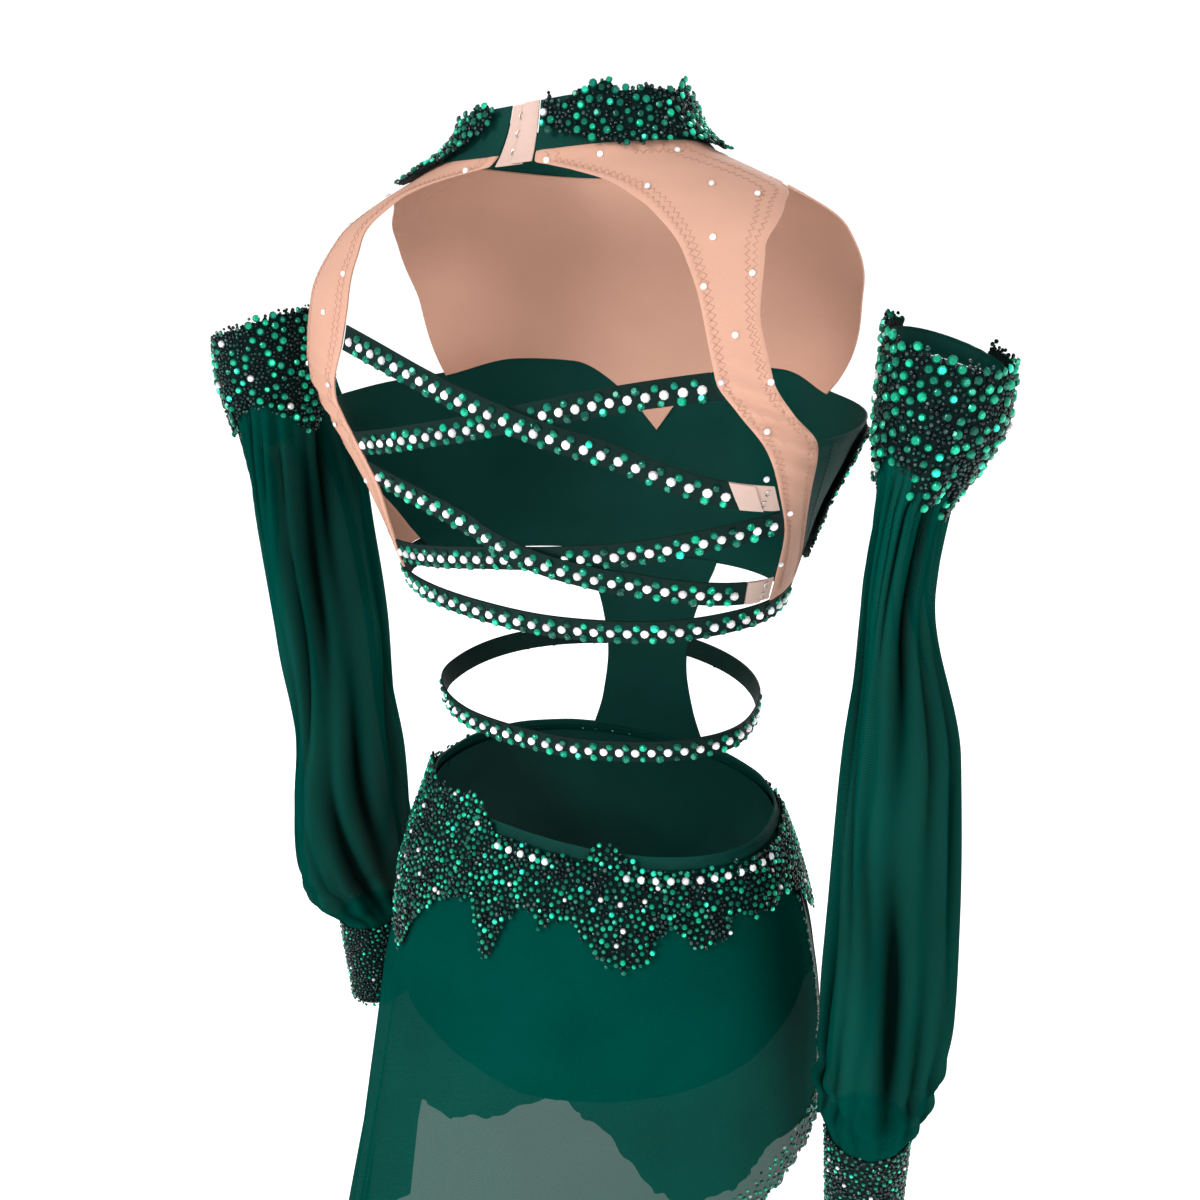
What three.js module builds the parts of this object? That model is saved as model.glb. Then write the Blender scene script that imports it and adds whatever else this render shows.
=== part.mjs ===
// A lyrical dance dress as worn: high collar, nude yoke round a strapped open back, sweetheart bodice,
// attached brief under a sheer slit skirt, loose sleeves with beaded cuffs, and beaded lace motifs.
// Millimetres. The front faces -Y, the wearer's right is -X and +Z is up. The origin is on the axis of
// the neck at the nape. A place on the body is an angle and a height: 0 degrees is the wearer's left
// side, 90 the centre back, 180 the right side and 270 the centre front.
import * as THREE from 'three';

// Cloth and trim
const CLOTH = 1.5; // wall of one layer of cloth
const SKIN_GAP = 0.5; // between the figure and the first layer
const SEAM_GAP = 0.4; // between two pieces sewn edge to edge
const CURVED_SEAM_GAP = 1; // the same where the seam bends over the body
const LAYER_GAP = 0.6; // between a panel and what is sewn on it
const LACE = 1.4; // thickness of lace between its raised beads
const BEAD_RISE = 1.8; // how far the beadwork rises above the lace
const STRAP_WIDTH = 15;
const STRAP_HUMP = 2.2; // how far a strap lifts to pass over another
const COLLAR_HEIGHT = 27;
const WAISTBAND_HEIGHT = 8;

// The general figure that the dress is cut for: level sections, each a rounded oblong
// height, half width, depth in front, depth behind, squareness
const FIGURE = [
  [70, 60, 84, 26, 2],
  [40, 62, 82, 30, 2],
  [15, 70, 80, 36, 2],
  [0, 84, 79, 42, 2],
  [-12, 110, 78, 49, 2],
  [-25, 138, 78, 57, 2.1],
  [-45, 168, 82, 67, 2.3],
  [-80, 190, 92, 80, 2.5],
  [-120, 195, 104, 87, 2.6],
  [-165, 178, 113, 90, 2.4],
  [-205, 158, 117, 88, 2.25],
  [-240, 144, 114, 83, 2.2],
  [-280, 131, 104, 75, 2.2],
  [-330, 119, 96, 65, 2.2],
  [-375, 114, 93, 61, 2.2],
  [-420, 122, 95, 69, 2.2],
  [-470, 140, 100, 92, 2.2],
  [-530, 156, 104, 116, 2.2],
  [-590, 162, 104, 124, 2.2],
  [-650, 160, 100, 118, 2.2],
  [-700, 158, 96, 108, 2.2],
];
const CUP_CENTRES = [238, 302]; // degrees
const CUP_HEIGHT = -205;
const CUP_DOME = 9;
const CUP_SPREAD_ANGLE = 20;
const CUP_SPREAD_HEIGHT = 42;
const ARM_HOLLOWS = [204, 336]; // degrees, the hollow in front of each arm
const ARM_HOLLOW_HEIGHT = -162;
const ARM_HOLLOW_DEPTH = 24;
const ARM_HOLLOW_SPREAD_ANGLE = 17;
const ARM_HOLLOW_SPREAD_HEIGHT = 52;

// Collar: its lower edge is higher on the right and drops towards the front
const COLLAR_LEVEL = 2;
const COLLAR_TILT = 3.5;
const COLLAR_FRONT_DROP = 16;
const CLOSURE_LEFT = 58; // degrees, the two ends of the collar at the back closure
const CLOSURE_RIGHT = 88;
const TAPE_OVERLAP = 13; // degrees

// Back yoke edges on each side, in degrees from the side line towards the back
// height, keyhole edge, armhole edge
const YOKE_RIGHT = [
  [0, 91, 0], [-5, 90, 0], [-8, 76, 0], [-11, 62, 0], [-16, 47, 0], [-22, 40, 1], [-31, 35.5, 9],
  [-52, 32.5, 19], [-91, 32.5, 24], [-117, 32, 23.5], [-133, 29, 21], [-155, 23.5, 14.5], [-180, 19, 11.5],
  [-216, 12, 4], [-237, 10, -3], [-262, 8.5, -9],
];
const YOKE_LEFT = [
  [0, 56, 0], [-5, 54, 0], [-8, 43, 0], [-11, 32, 0], [-16, 23, 0], [-22, 20, 1], [-31, 20, 5],
  [-56, 25, 9], [-85, 29, 11.5], [-103, 29.5, 13], [-142, 26.5, 14], [-173, 29.5, 13.5], [-195, 31, 12.5],
  [-230, 27, 4], [-253, 23.5, -1], [-262, 23, -4],
];
const YOKE_ROWS = [
  0, -3, -6, -9, -12, -17, -23, -32, -44, -60, -80, -103, -125, -142, -160, -180, -200, -220, -240,
];
const YOKE_FOOT = -256; // about where the underbust strap begins
const NECK_ZONE = 24; // the rows above this depth follow the collar's lower edge
const FRONT_ARMHOLE = [[0, 0], [-22, -1], [-31, -6], [-57, -14], [-96, -20], [-150, -22]];

// Bodice: the top edge from the side to the centre front, in degrees from the side line, and its height
const BODICE_TOP = [[-22, -143], [-42, -134], [-60, -136], [-78, -158], [-90, -186]];
const BODICE_SIDE_TOP = -152;
const UNDER_ARM = 0.25; // share of the top edge that lies under the arm
const BODICE_BOTTOM_SIDE = -274;
const BODICE_BOTTOM_FRONT = -284;

// Straps across the back: angle and height of the centre line, from the left end to the right end
const UPPER_OVER = [[29, -101], [60, -127], [90, -143], [125, -159], [152, -181], [162, -186]];
const UPPER_UNDER = [[26, -170], [55, -156], [90, -143], [117, -133], [148, -120]];
const LOWER_OVER = [[31, -187], [60, -204], [95, -226], [126, -236], [164, -248], [173, -249]];
const LOWER_UNDER = [[24, -244], [70, -231], [107, -224.5], [131, -218.5], [163, -202.5]];
const UNDERBUST = [
  [-8, -262], [27, -266], [60, -269.5], [100, -272.5], [140, -271], [166, -266], [190, -264],
];
const WAIST = [[-68, -348], [0, -355], [40, -363], [95, -363.5], [143, -360], [180, -356], [248, -348]];
const UPPER_CROSSING = 90;
const LOWER_CROSSING = 101;
const CLOSURE_LENGTH = 8; // degrees of a strap that its closure takes

// Centre front panel: height, half width in degrees from the centre front
const FRONT_PANEL = [[-284, 30], [-330, 22], [-360, 20], [-400, 23], [-430, 28]];

// Hips
const WAIST_LEVEL = -429;
const WAIST_TILT = 3; // the left side is higher by this, the right lower
const BRIEF_LEG = [[0, -545], [30, -574], [55, -588], [72, -596], [90, -602]]; // degrees from the side line
const CROTCH_DIP = 16;
const GUSSET_ANGLE = 13; // half width of the gusset, in degrees at its ends
const GUSSET_WAIST = 0.72; // its middle is this much narrower

// Skirt: how far each part hangs out from the hips at the full drop
const FLARE_START = -540;
const FLARE_DROP = 300;
const FLARE = [[-180, 6], [-120, 26], [-60, 44], [0, 62], [45, 62], [90, 46], [135, 24], [180, 6]];
const SKIRT_FOLDS = 9;
const FOLD_DEPTH = 11;
const LEFT_SEAM = 6; // degrees
const SLIT_BACK_EDGE = 185;
const SLIT_FRONT_EDGE = 187;
const HEM_BACK = [
  [6, -950], [20, -940], [45, -895], [75, -848], [110, -780], [140, -716], [160, -684], [172, -672],
  [185, -678],
];
const HEM_FRONT = [
  [187, -680], [205, -735], [220, -800], [240, -890], [258, -965], [276, -995], [286, -1010], [292, -985],
  [298, -940], [306, -896], [315, -877], [328, -924], [340, -897], [350, -842], [354.6, -822], [355.6, -955],
  [366, -952],
];

// How far the lace of the hips climbs from the foot of the waistband: angle, rise
const HIP_LACE_RISE = [
  [-36, 0], [0, 4], [12, 17], [19, 22], [25, 14], [33, 14], [40, 17], [47, 20], [54, 15], [61, 5], [67, 0],
  [112, 0], [119, 11], [126, 12], [132, 5], [137, 0],
];
// Lower edges of the lace below the waistband: angle, height
const HIP_LACE_LEFT = [
  [-36, -478], [-24, -502], [-12, -486], [0, -512], [12, -522], [21, -500], [29, -524], [37, -540],
  [45, -500], [53, -484],
];
const HIP_LACE_BACK = [
  [53, -484], [62, -478], [70, -492], [76, -508], [82, -478], [89, -470], [96, -480], [102, -472], [109, -474],
  [115, -486], [122, -494], [130, -496], [136, -480], [141, -470],
];
const HIP_LACE_RIGHT = [
  [141, -470], [147, -484], [153, -482], [159, -468], [167, -474], [175, -470], [183, -482], [192, -508],
  [202, -488], [212, -472], [222, -466],
];
const HIP_LACE_FRONT = [
  [222, -466], [234, -488], [246, -474], [258, -496], [270, -512], [282, -494], [294, -474], [308, -490],
  [324, -478],
];

// Sleeves: height, distance of the middle from the body's axis, its place front to back, half width
// across, half depth front to back
const SLEEVE_RIGHT = [
  [-104, 235, 36, 29, 42],
  [-128, 234, 37, 29, 42],
  [-150, 230, 38, 26, 42],
  [-166, 226.5, 39, 21.5, 42.5],
  [-182, 222.5, 41, 17.5, 43],
  [-240, 217, 43, 18, 41],
  [-336, 225, 41, 32, 55],
  [-450, 226, 40, 38, 58],
  [-515, 226, 40, 40, 57],
  [-560, 224, 40, 38, 52],
  [-595, 221, 40, 34, 40],
  [-618, 219, 40, 26, 28],
];
const SLEEVE_LEFT = [
  [-106, 233, 22, 31, 43],
  [-128, 233, 22, 31, 43],
  [-150, 231, 20, 29, 46],
  [-166, 229, 17, 26, 50],
  [-182, 228, 14, 24, 54],
  [-240, 226, 8, 27, 60],
  [-336, 226, 4, 33, 58],
  [-400, 226, 2, 31, 56],
  [-470, 230, 0, 38, 62],
  [-530, 235, -2, 45, 60],
  [-578, 237, -6, 43, 47],
  [-594, 232, -9, 33, 37],
  [-602, 231, -10, 27.5, 29.5],
  [-608, 231, -10, 26, 28],
];
const SLEEVE_FOLDS = 7;
const SLEEVE_FOLD_DEPTH = 3.2;
const SLEEVE_TILT = -12; // the top edge hangs lower outside than under the arm
const SLEEVE_BAND = 12;
const SLEEVE_COLUMNS = 28;
const LACE_ROWS = [-128, -149]; // heights where the sleeve's lace follows its bend
// Lower edge of the sleeve's lace: degrees from the outer side towards the back, height
const SLEEVE_LACE_FOOT = [
  [-64, -158], [-36, -174], [0, -188], [32, -168], [60, -172], [85, -158], [115, -152], [142, -162],
  [172, -174], [206, -150],
];
const CUFF_LENGTH = 78;
const CUFF_TAPER = 3;

const { min, max, abs, cos, sin, PI } = Math;
const radians = THREE.MathUtils.degToRad;
const mix = THREE.MathUtils.lerp;
const clamp = THREE.MathUtils.clamp;

// Smooth curve through a table's rows that never overshoots; gives all the columns after the first
function curve(table) {
  const rows = [...table].sort((a, b) => a[0] - b[0]);
  const slope = (k, c) => (rows[k + 1][c] - rows[k][c]) / (rows[k + 1][0] - rows[k][0]);
  const tangent = (k, c) => {
    if (k === 0) return slope(0, c);
    if (k === rows.length - 1) return slope(k - 1, c);
    const before = slope(k - 1, c);
    const after = slope(k, c);
    return before * after <= 0 ? 0 : (2 * before * after) / (before + after);
  };
  return (x) => {
    const at = clamp(x, rows[0][0], rows.at(-1)[0]);
    const k = min(rows.findLastIndex((row) => row[0] <= at), rows.length - 2);
    const span = rows[k + 1][0] - rows[k][0];
    const t = (at - rows[k][0]) / span;
    return rows[k].slice(1).map((from, n) => {
      const c = n + 1;
      const to = rows[k + 1][c];
      return (2 * t ** 3 - 3 * t ** 2 + 1) * from + (t ** 3 - 2 * t ** 2 + t) * span * tangent(k, c)
        + (3 * t ** 2 - 2 * t ** 3) * to + (t ** 3 - t ** 2) * span * tangent(k + 1, c);
    });
  };
}

// The same curve for a table with two columns, as one value
const line = (table) => {
  const through = curve(table);
  return (x) => through(x)[0];
};

// ---- Surfaces: each gives a point for an angle in degrees and a height

const figureSection = curve(FIGURE);

// Height over the figure of soft round swellings that all lie at one level
function swelling(centres, angle, height, level, spreadAngle, spreadHeight) {
  const turn = ((angle % 360) + 360) % 360;
  const up = (height - level) / spreadHeight;
  const rise = (centre) => Math.exp(-(((turn - centre) / spreadAngle) ** 2) - up ** 2);
  return centres.reduce((sum, centre) => sum + rise(centre), 0);
}

const cupDome = (angle, height) => (
  CUP_DOME * swelling(CUP_CENTRES, angle, height, CUP_HEIGHT, CUP_SPREAD_ANGLE, CUP_SPREAD_HEIGHT)
);

const armHollow = (angle, height) => ARM_HOLLOW_DEPTH * swelling(
  ARM_HOLLOWS, angle, height, ARM_HOLLOW_HEIGHT, ARM_HOLLOW_SPREAD_ANGLE, ARM_HOLLOW_SPREAD_HEIGHT,
);

function figure(angle, height) {
  const [halfWidth, front, back, squareness] = figureSection(height);
  const x = cos(radians(angle));
  const y = sin(radians(angle));
  const depth = y > 0 ? back : front;
  const reach = (abs(x / halfWidth) ** squareness + abs(y / depth) ** squareness) ** (-1 / squareness);
  const out = reach + cupDome(angle, height) - armHollow(angle, height);
  return new THREE.Vector3(out * x, out * y, height);
}

const flareAt = line(FLARE);

function skirt(angle, height) {
  const drop = max(0, (FLARE_START - height) / FLARE_DROP);
  const turn = ((angle + 180) % 360 + 360) % 360 - 180;
  const flare = flareAt(turn);
  const fold = FOLD_DEPTH * sin(radians(angle * SKIRT_FOLDS)) * clamp(flare / 46, 0.25, 1);
  const at = figure(angle, max(height, FLARE_START - 40));
  const out = flare * drop ** 1.05 + fold * drop ** 1.3;
  return at.add(new THREE.Vector3(cos(radians(angle)) * out, sin(radians(angle)) * out, 0)).setZ(height);
}

// A sleeve hangs beside the body; side is 1 on the wearer's left and -1 on the right
function sleeveSurface(table, side) {
  const section = curve(table);
  const top = table[0][0];
  const end = table.at(-1)[0];
  return (angle, height) => {
    const [reach, middle, across, depth] = section(height);
    const x = cos(radians(angle));
    const y = sin(radians(angle));
    const gather = clamp((top - 30 - height) / 60, 0, 1) * clamp((height - end + 12) / 60, 0.2, 1);
    const fold = 1 + (SLEEVE_FOLD_DEPTH * gather * (sin(radians(angle * SLEEVE_FOLDS)) - 0.5)) / across;
    const tilt = clamp(1 - (top - height) / 90, 0, 1) * SLEEVE_TILT * x * side;
    return new THREE.Vector3(side * reach + across * fold * x, middle + depth * fold * y, height + tilt);
  };
}

// The point of a surface moved straight out from it
function lifted(surface, angle, height, lift) {
  const point = surface(angle, height);
  const round = surface(angle + 0.4, height).sub(surface(angle - 0.4, height));
  const down = surface(angle, height - 0.6).sub(surface(angle, height + 0.6));
  const out = down.cross(round).normalize();
  return point.addScaledVector(out, lift);
}

// ---- Closed sheets of cloth

// place(s, t) gives [angle, height, lift of the inside, lift of the outside]; s runs round with the angle,
// t runs down. A loop is closed round the body.
function sheet(surface, across, down, place, loop = false) {
  const columns = loop ? across : across + 1;
  const faces = [[], []];
  for (let j = 0; j <= down; j += 1) {
    for (let i = 0; i < columns; i += 1) {
      const [angle, height, inside, outside] = place(i / across, j / down);
      faces[0].push(lifted(surface, angle, height, outside));
      faces[1].push(lifted(surface, angle, height, inside));
    }
  }
  return closed(faces, columns, across, down, loop);
}

function closed(faces, columns, across, down, loop) {
  const out = (i, j) => j * columns + (i % columns);
  const inn = (i, j) => faces[0].length + out(i, j);
  const index = [];
  const quad = (a, b, c, d) => index.push(a, b, c, a, c, d);
  for (let j = 0; j < down; j += 1) {
    for (let i = 0; i < across; i += 1) {
      quad(out(i, j), out(i, j + 1), out(i + 1, j + 1), out(i + 1, j));
      quad(inn(i, j), inn(i + 1, j), inn(i + 1, j + 1), inn(i, j + 1));
    }
  }
  for (let i = 0; i < across; i += 1) {
    quad(out(i, 0), out(i + 1, 0), inn(i + 1, 0), inn(i, 0));
    quad(out(i + 1, down), out(i, down), inn(i, down), inn(i + 1, down));
  }
  for (let j = 0; j < down && !loop; j += 1) {
    quad(out(0, j), inn(0, j), inn(0, j + 1), out(0, j + 1));
    quad(inn(across, j), out(across, j), out(across, j + 1), inn(across, j + 1));
  }
  const geometry = new THREE.BufferGeometry();
  const points = [...faces[0], ...faces[1]].flatMap((p) => p.toArray());
  geometry.setAttribute('position', new THREE.Float32BufferAttribute(points, 3));
  geometry.setIndex(index);
  return geometry;
}

// Gap between seam edges as an angle, at a distance from the axis
const gapAngle = (radius, gap = SEAM_GAP) => THREE.MathUtils.radToDeg(gap / radius);

const dress = new THREE.Group();

const FINISH = {
  green: { color: 0x04463c, roughness: 0.55, metalness: 0 },
  mesh: { color: 0x07564a, roughness: 0.6, metalness: 0 },
  nude: { color: 0xdeaf98, roughness: 0.7, metalness: 0 },
  tape: { color: 0xe6c4b4, roughness: 0.6, metalness: 0 },
  beadwork: { color: 0x063a34, roughness: 0.3, metalness: 0.2 },
};

function add(name, geometry, finish) {
  const mesh = new THREE.Mesh(geometry, new THREE.MeshStandardMaterial(FINISH[finish]));
  mesh.name = name;
  dress.add(mesh);
}

const layer = (level) => SKIN_GAP + level * (CLOTH + LAYER_GAP);
const base = [layer(0), layer(0) + CLOTH];

// ---- Collar

function collarEdge(angle) {
  const towardsFront = (1 - sin(radians(angle))) / 2;
  return COLLAR_LEVEL - COLLAR_TILT * cos(radians(angle)) - COLLAR_FRONT_DROP * towardsFront ** 3;
}

function addCollar() {
  const place = (from, to, bottom, inside, outside) => (s, t) => {
    const angle = mix(from, to, s);
    return [angle, collarEdge(angle) + mix(COLLAR_HEIGHT, bottom, t), inside, outside];
  };
  const gap = gapAngle(50);
  const band = place(CLOSURE_RIGHT + gap, CLOSURE_LEFT + 360 - gap, 0, ...base);
  add('collar_band', sheet(figure, 38, 2, band), 'green');
  const under = [base[0], base[0] + 0.9];
  const over = [under[1] + 0.4, under[1] + 1.5];
  const tapeBottom = -6;
  const eyeTape = place(CLOSURE_LEFT, CLOSURE_LEFT + TAPE_OVERLAP + 8, tapeBottom, ...under);
  const hookTape = place(CLOSURE_RIGHT - TAPE_OVERLAP - 4, CLOSURE_RIGHT, tapeBottom, ...over);
  add('collar_eye_tape', sheet(figure, 4, 2, eyeTape), 'tape');
  add('collar_hook_tape', sheet(figure, 4, 2, hookTape), 'tape');
}

// Lace between an upper and a lower edge: thin at the rim, raised in bumps inside it
function lace(surface, level, bumps, upper, lower, from, to, across, down) {
  return sheet(surface, across, down, (s, t) => {
    const angle = mix(from, to, s);
    const rim = min(s * across, (1 - s) * across, t * down, (1 - t) * down, 1);
    const bump = abs(sin(s * PI * bumps) * sin(t * PI * 1.5 + s * 4)) * BEAD_RISE * rim;
    return [angle, mix(upper(angle), lower(angle), t), level, level + LACE + bump];
  });
}

function addCollarLace() {
  const level = layer(1) + LAYER_GAP;
  const rightTop = line([
    [96, 20], [112, 27], [126, 30], [150, 34], [172, 32], [190, 37], [204, 28], [236, 20],
  ]);
  const rightFoot = line([[96, 8], [120, 2], [150, 3], [170, 6], [196, -2], [215, 4], [236, 8]]);
  add('collar_applique_right', lace(figure, level, 7, rightTop, rightFoot, 96, 236, 20, 3), 'beadwork');
  const leftTop = line([[-56, 12], [-30, 19], [0, 20], [16, 20], [34, 27], [44, 25]]);
  const leftFoot = line([[-56, -8], [-34, -9], [-8, -16], [4, -17], [20, -3], [34, 9], [44, 17]]);
  add('collar_applique_left', lace(figure, level + 0.6, 6, leftTop, leftFoot, -56, 44, 18, 4), 'beadwork');
}

// ---- Yoke, bodice and straps

const yokeCurve = { right: curve(YOKE_RIGHT), left: curve(YOKE_LEFT) };
const frontArmhole = line(FRONT_ARMHOLE);

// Turns degrees from a side line into the angle round the body
const fromSide = { right: (degrees) => 180 - degrees, left: (degrees) => degrees };

// The rows near the neck follow the collar's lower edge
function nearNeck(angle, row) {
  return row + (collarEdge(angle) - CURVED_SEAM_GAP) * clamp(1 + row / NECK_ZONE, 0, 1);
}

const strapLine = {
  upperOver: line(UPPER_OVER),
  upperUnder: line(UPPER_UNDER),
  lowerOver: line(LOWER_OVER),
  lowerUnder: line(LOWER_UNDER),
  underbust: line(UNDERBUST),
  waist: line(WAIST),
};

function addBackYoke(side) {
  const rows = [...YOKE_ROWS, 'foot'];
  const gap = gapAngle(120);
  const place = (s, t) => {
    const row = rows[Math.round(t * (rows.length - 1))];
    const level = row === 'foot' ? YOKE_FOOT : row;
    const [keyhole, armhole] = yokeCurve[side](level);
    const [inner, outer] = [keyhole - gap, armhole + gap].map(fromSide[side]);
    const angle = mix(min(inner, outer), max(inner, outer), s);
    const foot = strapLine.underbust(angle) + STRAP_WIDTH / 2 + SEAM_GAP;
    const height = row === 'foot' ? foot : nearNeck(angle, row);
    return [angle, height, ...base];
  };
  add(`yoke_back_${side}`, sheet(figure, 6, rows.length - 1, place), 'nude');
}

const bodiceTop = line(BODICE_TOP);

// Place on the bodice's top edge; share 0 is the right armhole and 1 the left one
function bodiceTopAt(share) {
  const towardsCentre = 1 - abs(2 * share - 1);
  const fromArmhole = mix(BODICE_TOP[0][0], -90, towardsCentre);
  const angle = share < 0.5 ? 180 - fromArmhole : 360 + fromArmhole;
  return [angle, bodiceTop(fromArmhole)];
}

function addFrontYoke() {
  const across = 18;
  const down = 7;
  const place = (s, t) => {
    const [, foot] = bodiceTopAt(s);
    const row = mix(0, foot + SEAM_GAP, t ** 1.3);
    const armhole = frontArmhole(row) - gapAngle(110);
    const angle = mix(180 - armhole, 360 + armhole, s);
    return [angle, nearNeck(angle, row), ...base];
  };
  add('yoke_front', sheet(figure, across, down, place), 'nude');
}

function cupPlace(side) {
  const gap = gapAngle(110, CURVED_SEAM_GAP);
  return (share, t) => {
    // share 0 is the side edge and 1 the centre front; the top edge meets the yoke from UNDER_ARM on
    const alongYoke = max(0, (share - UNDER_ARM) / (1 - UNDER_ARM)) / 2;
    const [yokeAngle, yokeHeight] = bodiceTopAt(side === 'right' ? alongYoke : 1 - alongYoke);
    const underArm = min(share / UNDER_ARM, 1);
    const sideEdge = (height) => {
      const edge = yokeCurve[side](height)[1] - gap;
      return side === 'right' ? 180 - edge : 360 + edge;
    };
    const corner = sideEdge(BODICE_SIDE_TOP);
    const foot = sideEdge(BODICE_BOTTOM_SIDE);
    const topHeight = mix(BODICE_SIDE_TOP, yokeHeight, underArm);
    const height = mix(topHeight, mix(BODICE_BOTTOM_SIDE, BODICE_BOTTOM_FRONT, share), t);
    const straight = mix(mix(corner, yokeAngle, underArm), mix(foot, 270, share), t);
    const bend = sideEdge(mix(BODICE_SIDE_TOP, BODICE_BOTTOM_SIDE, t)) - mix(corner, foot, t);
    const centreGap = (side === 'right' ? -1 : 1) * gapAngle(110) * share;
    return [straight + bend * (1 - share) ** 2 + centreGap, height];
  };
}

function addBodice() {
  const across = 12;
  const down = 9;
  for (const side of ['right', 'left']) {
    const cup = cupPlace(side);
    const share = (s) => (side === 'right' ? s : 1 - s);
    add(`cup_${side}`, sheet(figure, across, down, (s, t) => [...cup(share(s), t), ...base]), 'green');
    const level = layer(1) + 2 * LAYER_GAP;
    const motif = (s, t) => {
      const lobes = 0.1 * abs(sin(s * PI * 4));
      const down01 = mix(0.05, 0.72 - 0.3 * share(s) + lobes, t);
      const rim = min(s * 10, (1 - s) * 10, t * 4, (1 - t) * 4, 1);
      const bump = abs(sin(s * PI * 5) * sin(t * PI * 2)) * BEAD_RISE * rim;
      return [...cup(mix(1 / 12, 11 / 12, share(s)), down01), level, level + LACE + bump];
    };
    add(`bodice_applique_${side}`, sheet(figure, 10, 4, motif), 'beadwork');
  }
}

// A strap between two edges; each edge gives the angle where it lies at a height
function strap(centre, from, to, steps, lift) {
  return sheet(figure, steps, 1, (s, t) => {
    const off = (0.5 - t) * STRAP_WIDTH;
    const settle = (edge) => {
      let angle = edge(-200);
      for (let n = 0; n < 6; n += 1) angle = edge(centre(angle) + off);
      return angle;
    };
    const angle = mix(settle(from), settle(to), s);
    const [inside, outside] = lift(angle);
    return [angle, centre(angle) + off, inside, outside];
  });
}

const leftKeyhole = (height) => yokeCurve.left(height)[0] + gapAngle(110, CURVED_SEAM_GAP);
const rightKeyhole = (height) => 180 - yokeCurve.right(height)[0] - gapAngle(110, CURVED_SEAM_GAP);
const flat = () => base;

// Rises over the strap beneath around the crossing
const humped = (crossing) => (angle) => {
  const near = clamp((32 - abs(angle - crossing)) / 9, 0, 1);
  const rise = STRAP_HUMP * near * near * (3 - 2 * near);
  return [base[0] + rise, base[1] + rise];
};

function addStraps() {
  const closure = (height) => rightKeyhole(height) - CLOSURE_LENGTH;
  const over = (route, crossing) => strap(route, leftKeyhole, closure, 26, humped(crossing));
  add('strap_upper_over', over(strapLine.upperOver, UPPER_CROSSING), 'green');
  add('strap_upper_under', strap(strapLine.upperUnder, leftKeyhole, rightKeyhole, 16, flat), 'green');
  add('strap_lower_over', over(strapLine.lowerOver, LOWER_CROSSING), 'green');
  add('strap_lower_under', strap(strapLine.lowerUnder, leftKeyhole, rightKeyhole, 16, flat), 'green');
  const bodiceSide = gapAngle(120) * 2;
  const leftBodice = (height) => yokeCurve.left(height)[1] + bodiceSide;
  const rightBodice = (height) => 180 - yokeCurve.right(height)[1] - bodiceSide;
  add('strap_underbust', strap(strapLine.underbust, leftBodice, rightBodice, 22, flat), 'green');
  const panel = curve(FRONT_PANEL);
  const leftPanel = (height) => -90 + panel(height)[0] + gapAngle(95);
  const rightPanel = (height) => 270 - panel(height)[0] - gapAngle(95);
  add('strap_waist', strap(strapLine.waist, leftPanel, rightPanel, 36, flat), 'green');
}

function addStrapClosures() {
  const tapes = { upper: strapLine.upperOver, lower: strapLine.lowerOver };
  const overlap = 3.5; // degrees
  for (const [name, centre] of Object.entries(tapes)) {
    const low = [base[0], base[0] + 0.8];
    const high = [low[1] + 0.4, low[1] + 1.2];
    const eyeFrom = (height) => rightKeyhole(height) - CLOSURE_LENGTH + gapAngle(110);
    const hookTo = (height) => rightKeyhole(height) - overlap;
    add(`eye_tape_${name}`, strap(centre, eyeFrom, rightKeyhole, 3, () => low), 'tape');
    add(`hook_tape_${name}`, strap(centre, eyeFrom, hookTo, 3, () => high), 'tape');
  }
}

function addFrontPanel() {
  const panel = curve(FRONT_PANEL);
  const place = (s, t) => {
    const top = BODICE_BOTTOM_FRONT - CURVED_SEAM_GAP;
    const foot = WAIST_LEVEL + SEAM_GAP;
    const rough = mix(top, foot, t);
    const half = panel(rough)[0];
    const angle = mix(270 - half, 270 + half, s);
    const topHere = top + ((BODICE_BOTTOM_SIDE - BODICE_BOTTOM_FRONT) * abs(angle - 270)) / 82;
    const footHere = foot + WAIST_TILT * cos(radians(angle));
    return [angle, mix(topHere, footHere, t), ...base];
  };
  add('front_panel', sheet(figure, 6, 8, place), 'green');
}

// ---- Hips: brief, waistband, skirt and its lace

const waistTop = (angle) => WAIST_LEVEL + WAIST_TILT * cos(radians(angle));
const waistFoot = (angle) => waistTop(angle) - WAISTBAND_HEIGHT - CURVED_SEAM_GAP;
const skirtLevels = [layer(1) + 2 * LAYER_GAP, layer(1) + 2 * LAYER_GAP + CLOTH];
const hipLaceLevel = skirtLevels[1] + 2 * LAYER_GAP;

function addWaistband() {
  const place = (s, t) => [s * 360, waistTop(s * 360) - WAISTBAND_HEIGHT * t, base[0], skirtLevels[1]];
  add('waistband', sheet(figure, 44, 1, place, true), 'green');
}

function addBrief() {
  const leg = line(BRIEF_LEG);
  const gap = gapAngle(150);
  const half = (from) => (s, t) => {
    const angle = mix(from + gap, from + 180 - gap, s);
    const fromSideLine = 90 - abs(angle - from - 90);
    return [angle, mix(waistFoot(angle), leg(fromSideLine), t), ...base];
  };
  add('brief_back', sheet(figure, 16, 8, half(0)), 'green');
  add('brief_front', sheet(figure, 16, 8, half(180)), 'green');
}

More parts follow.
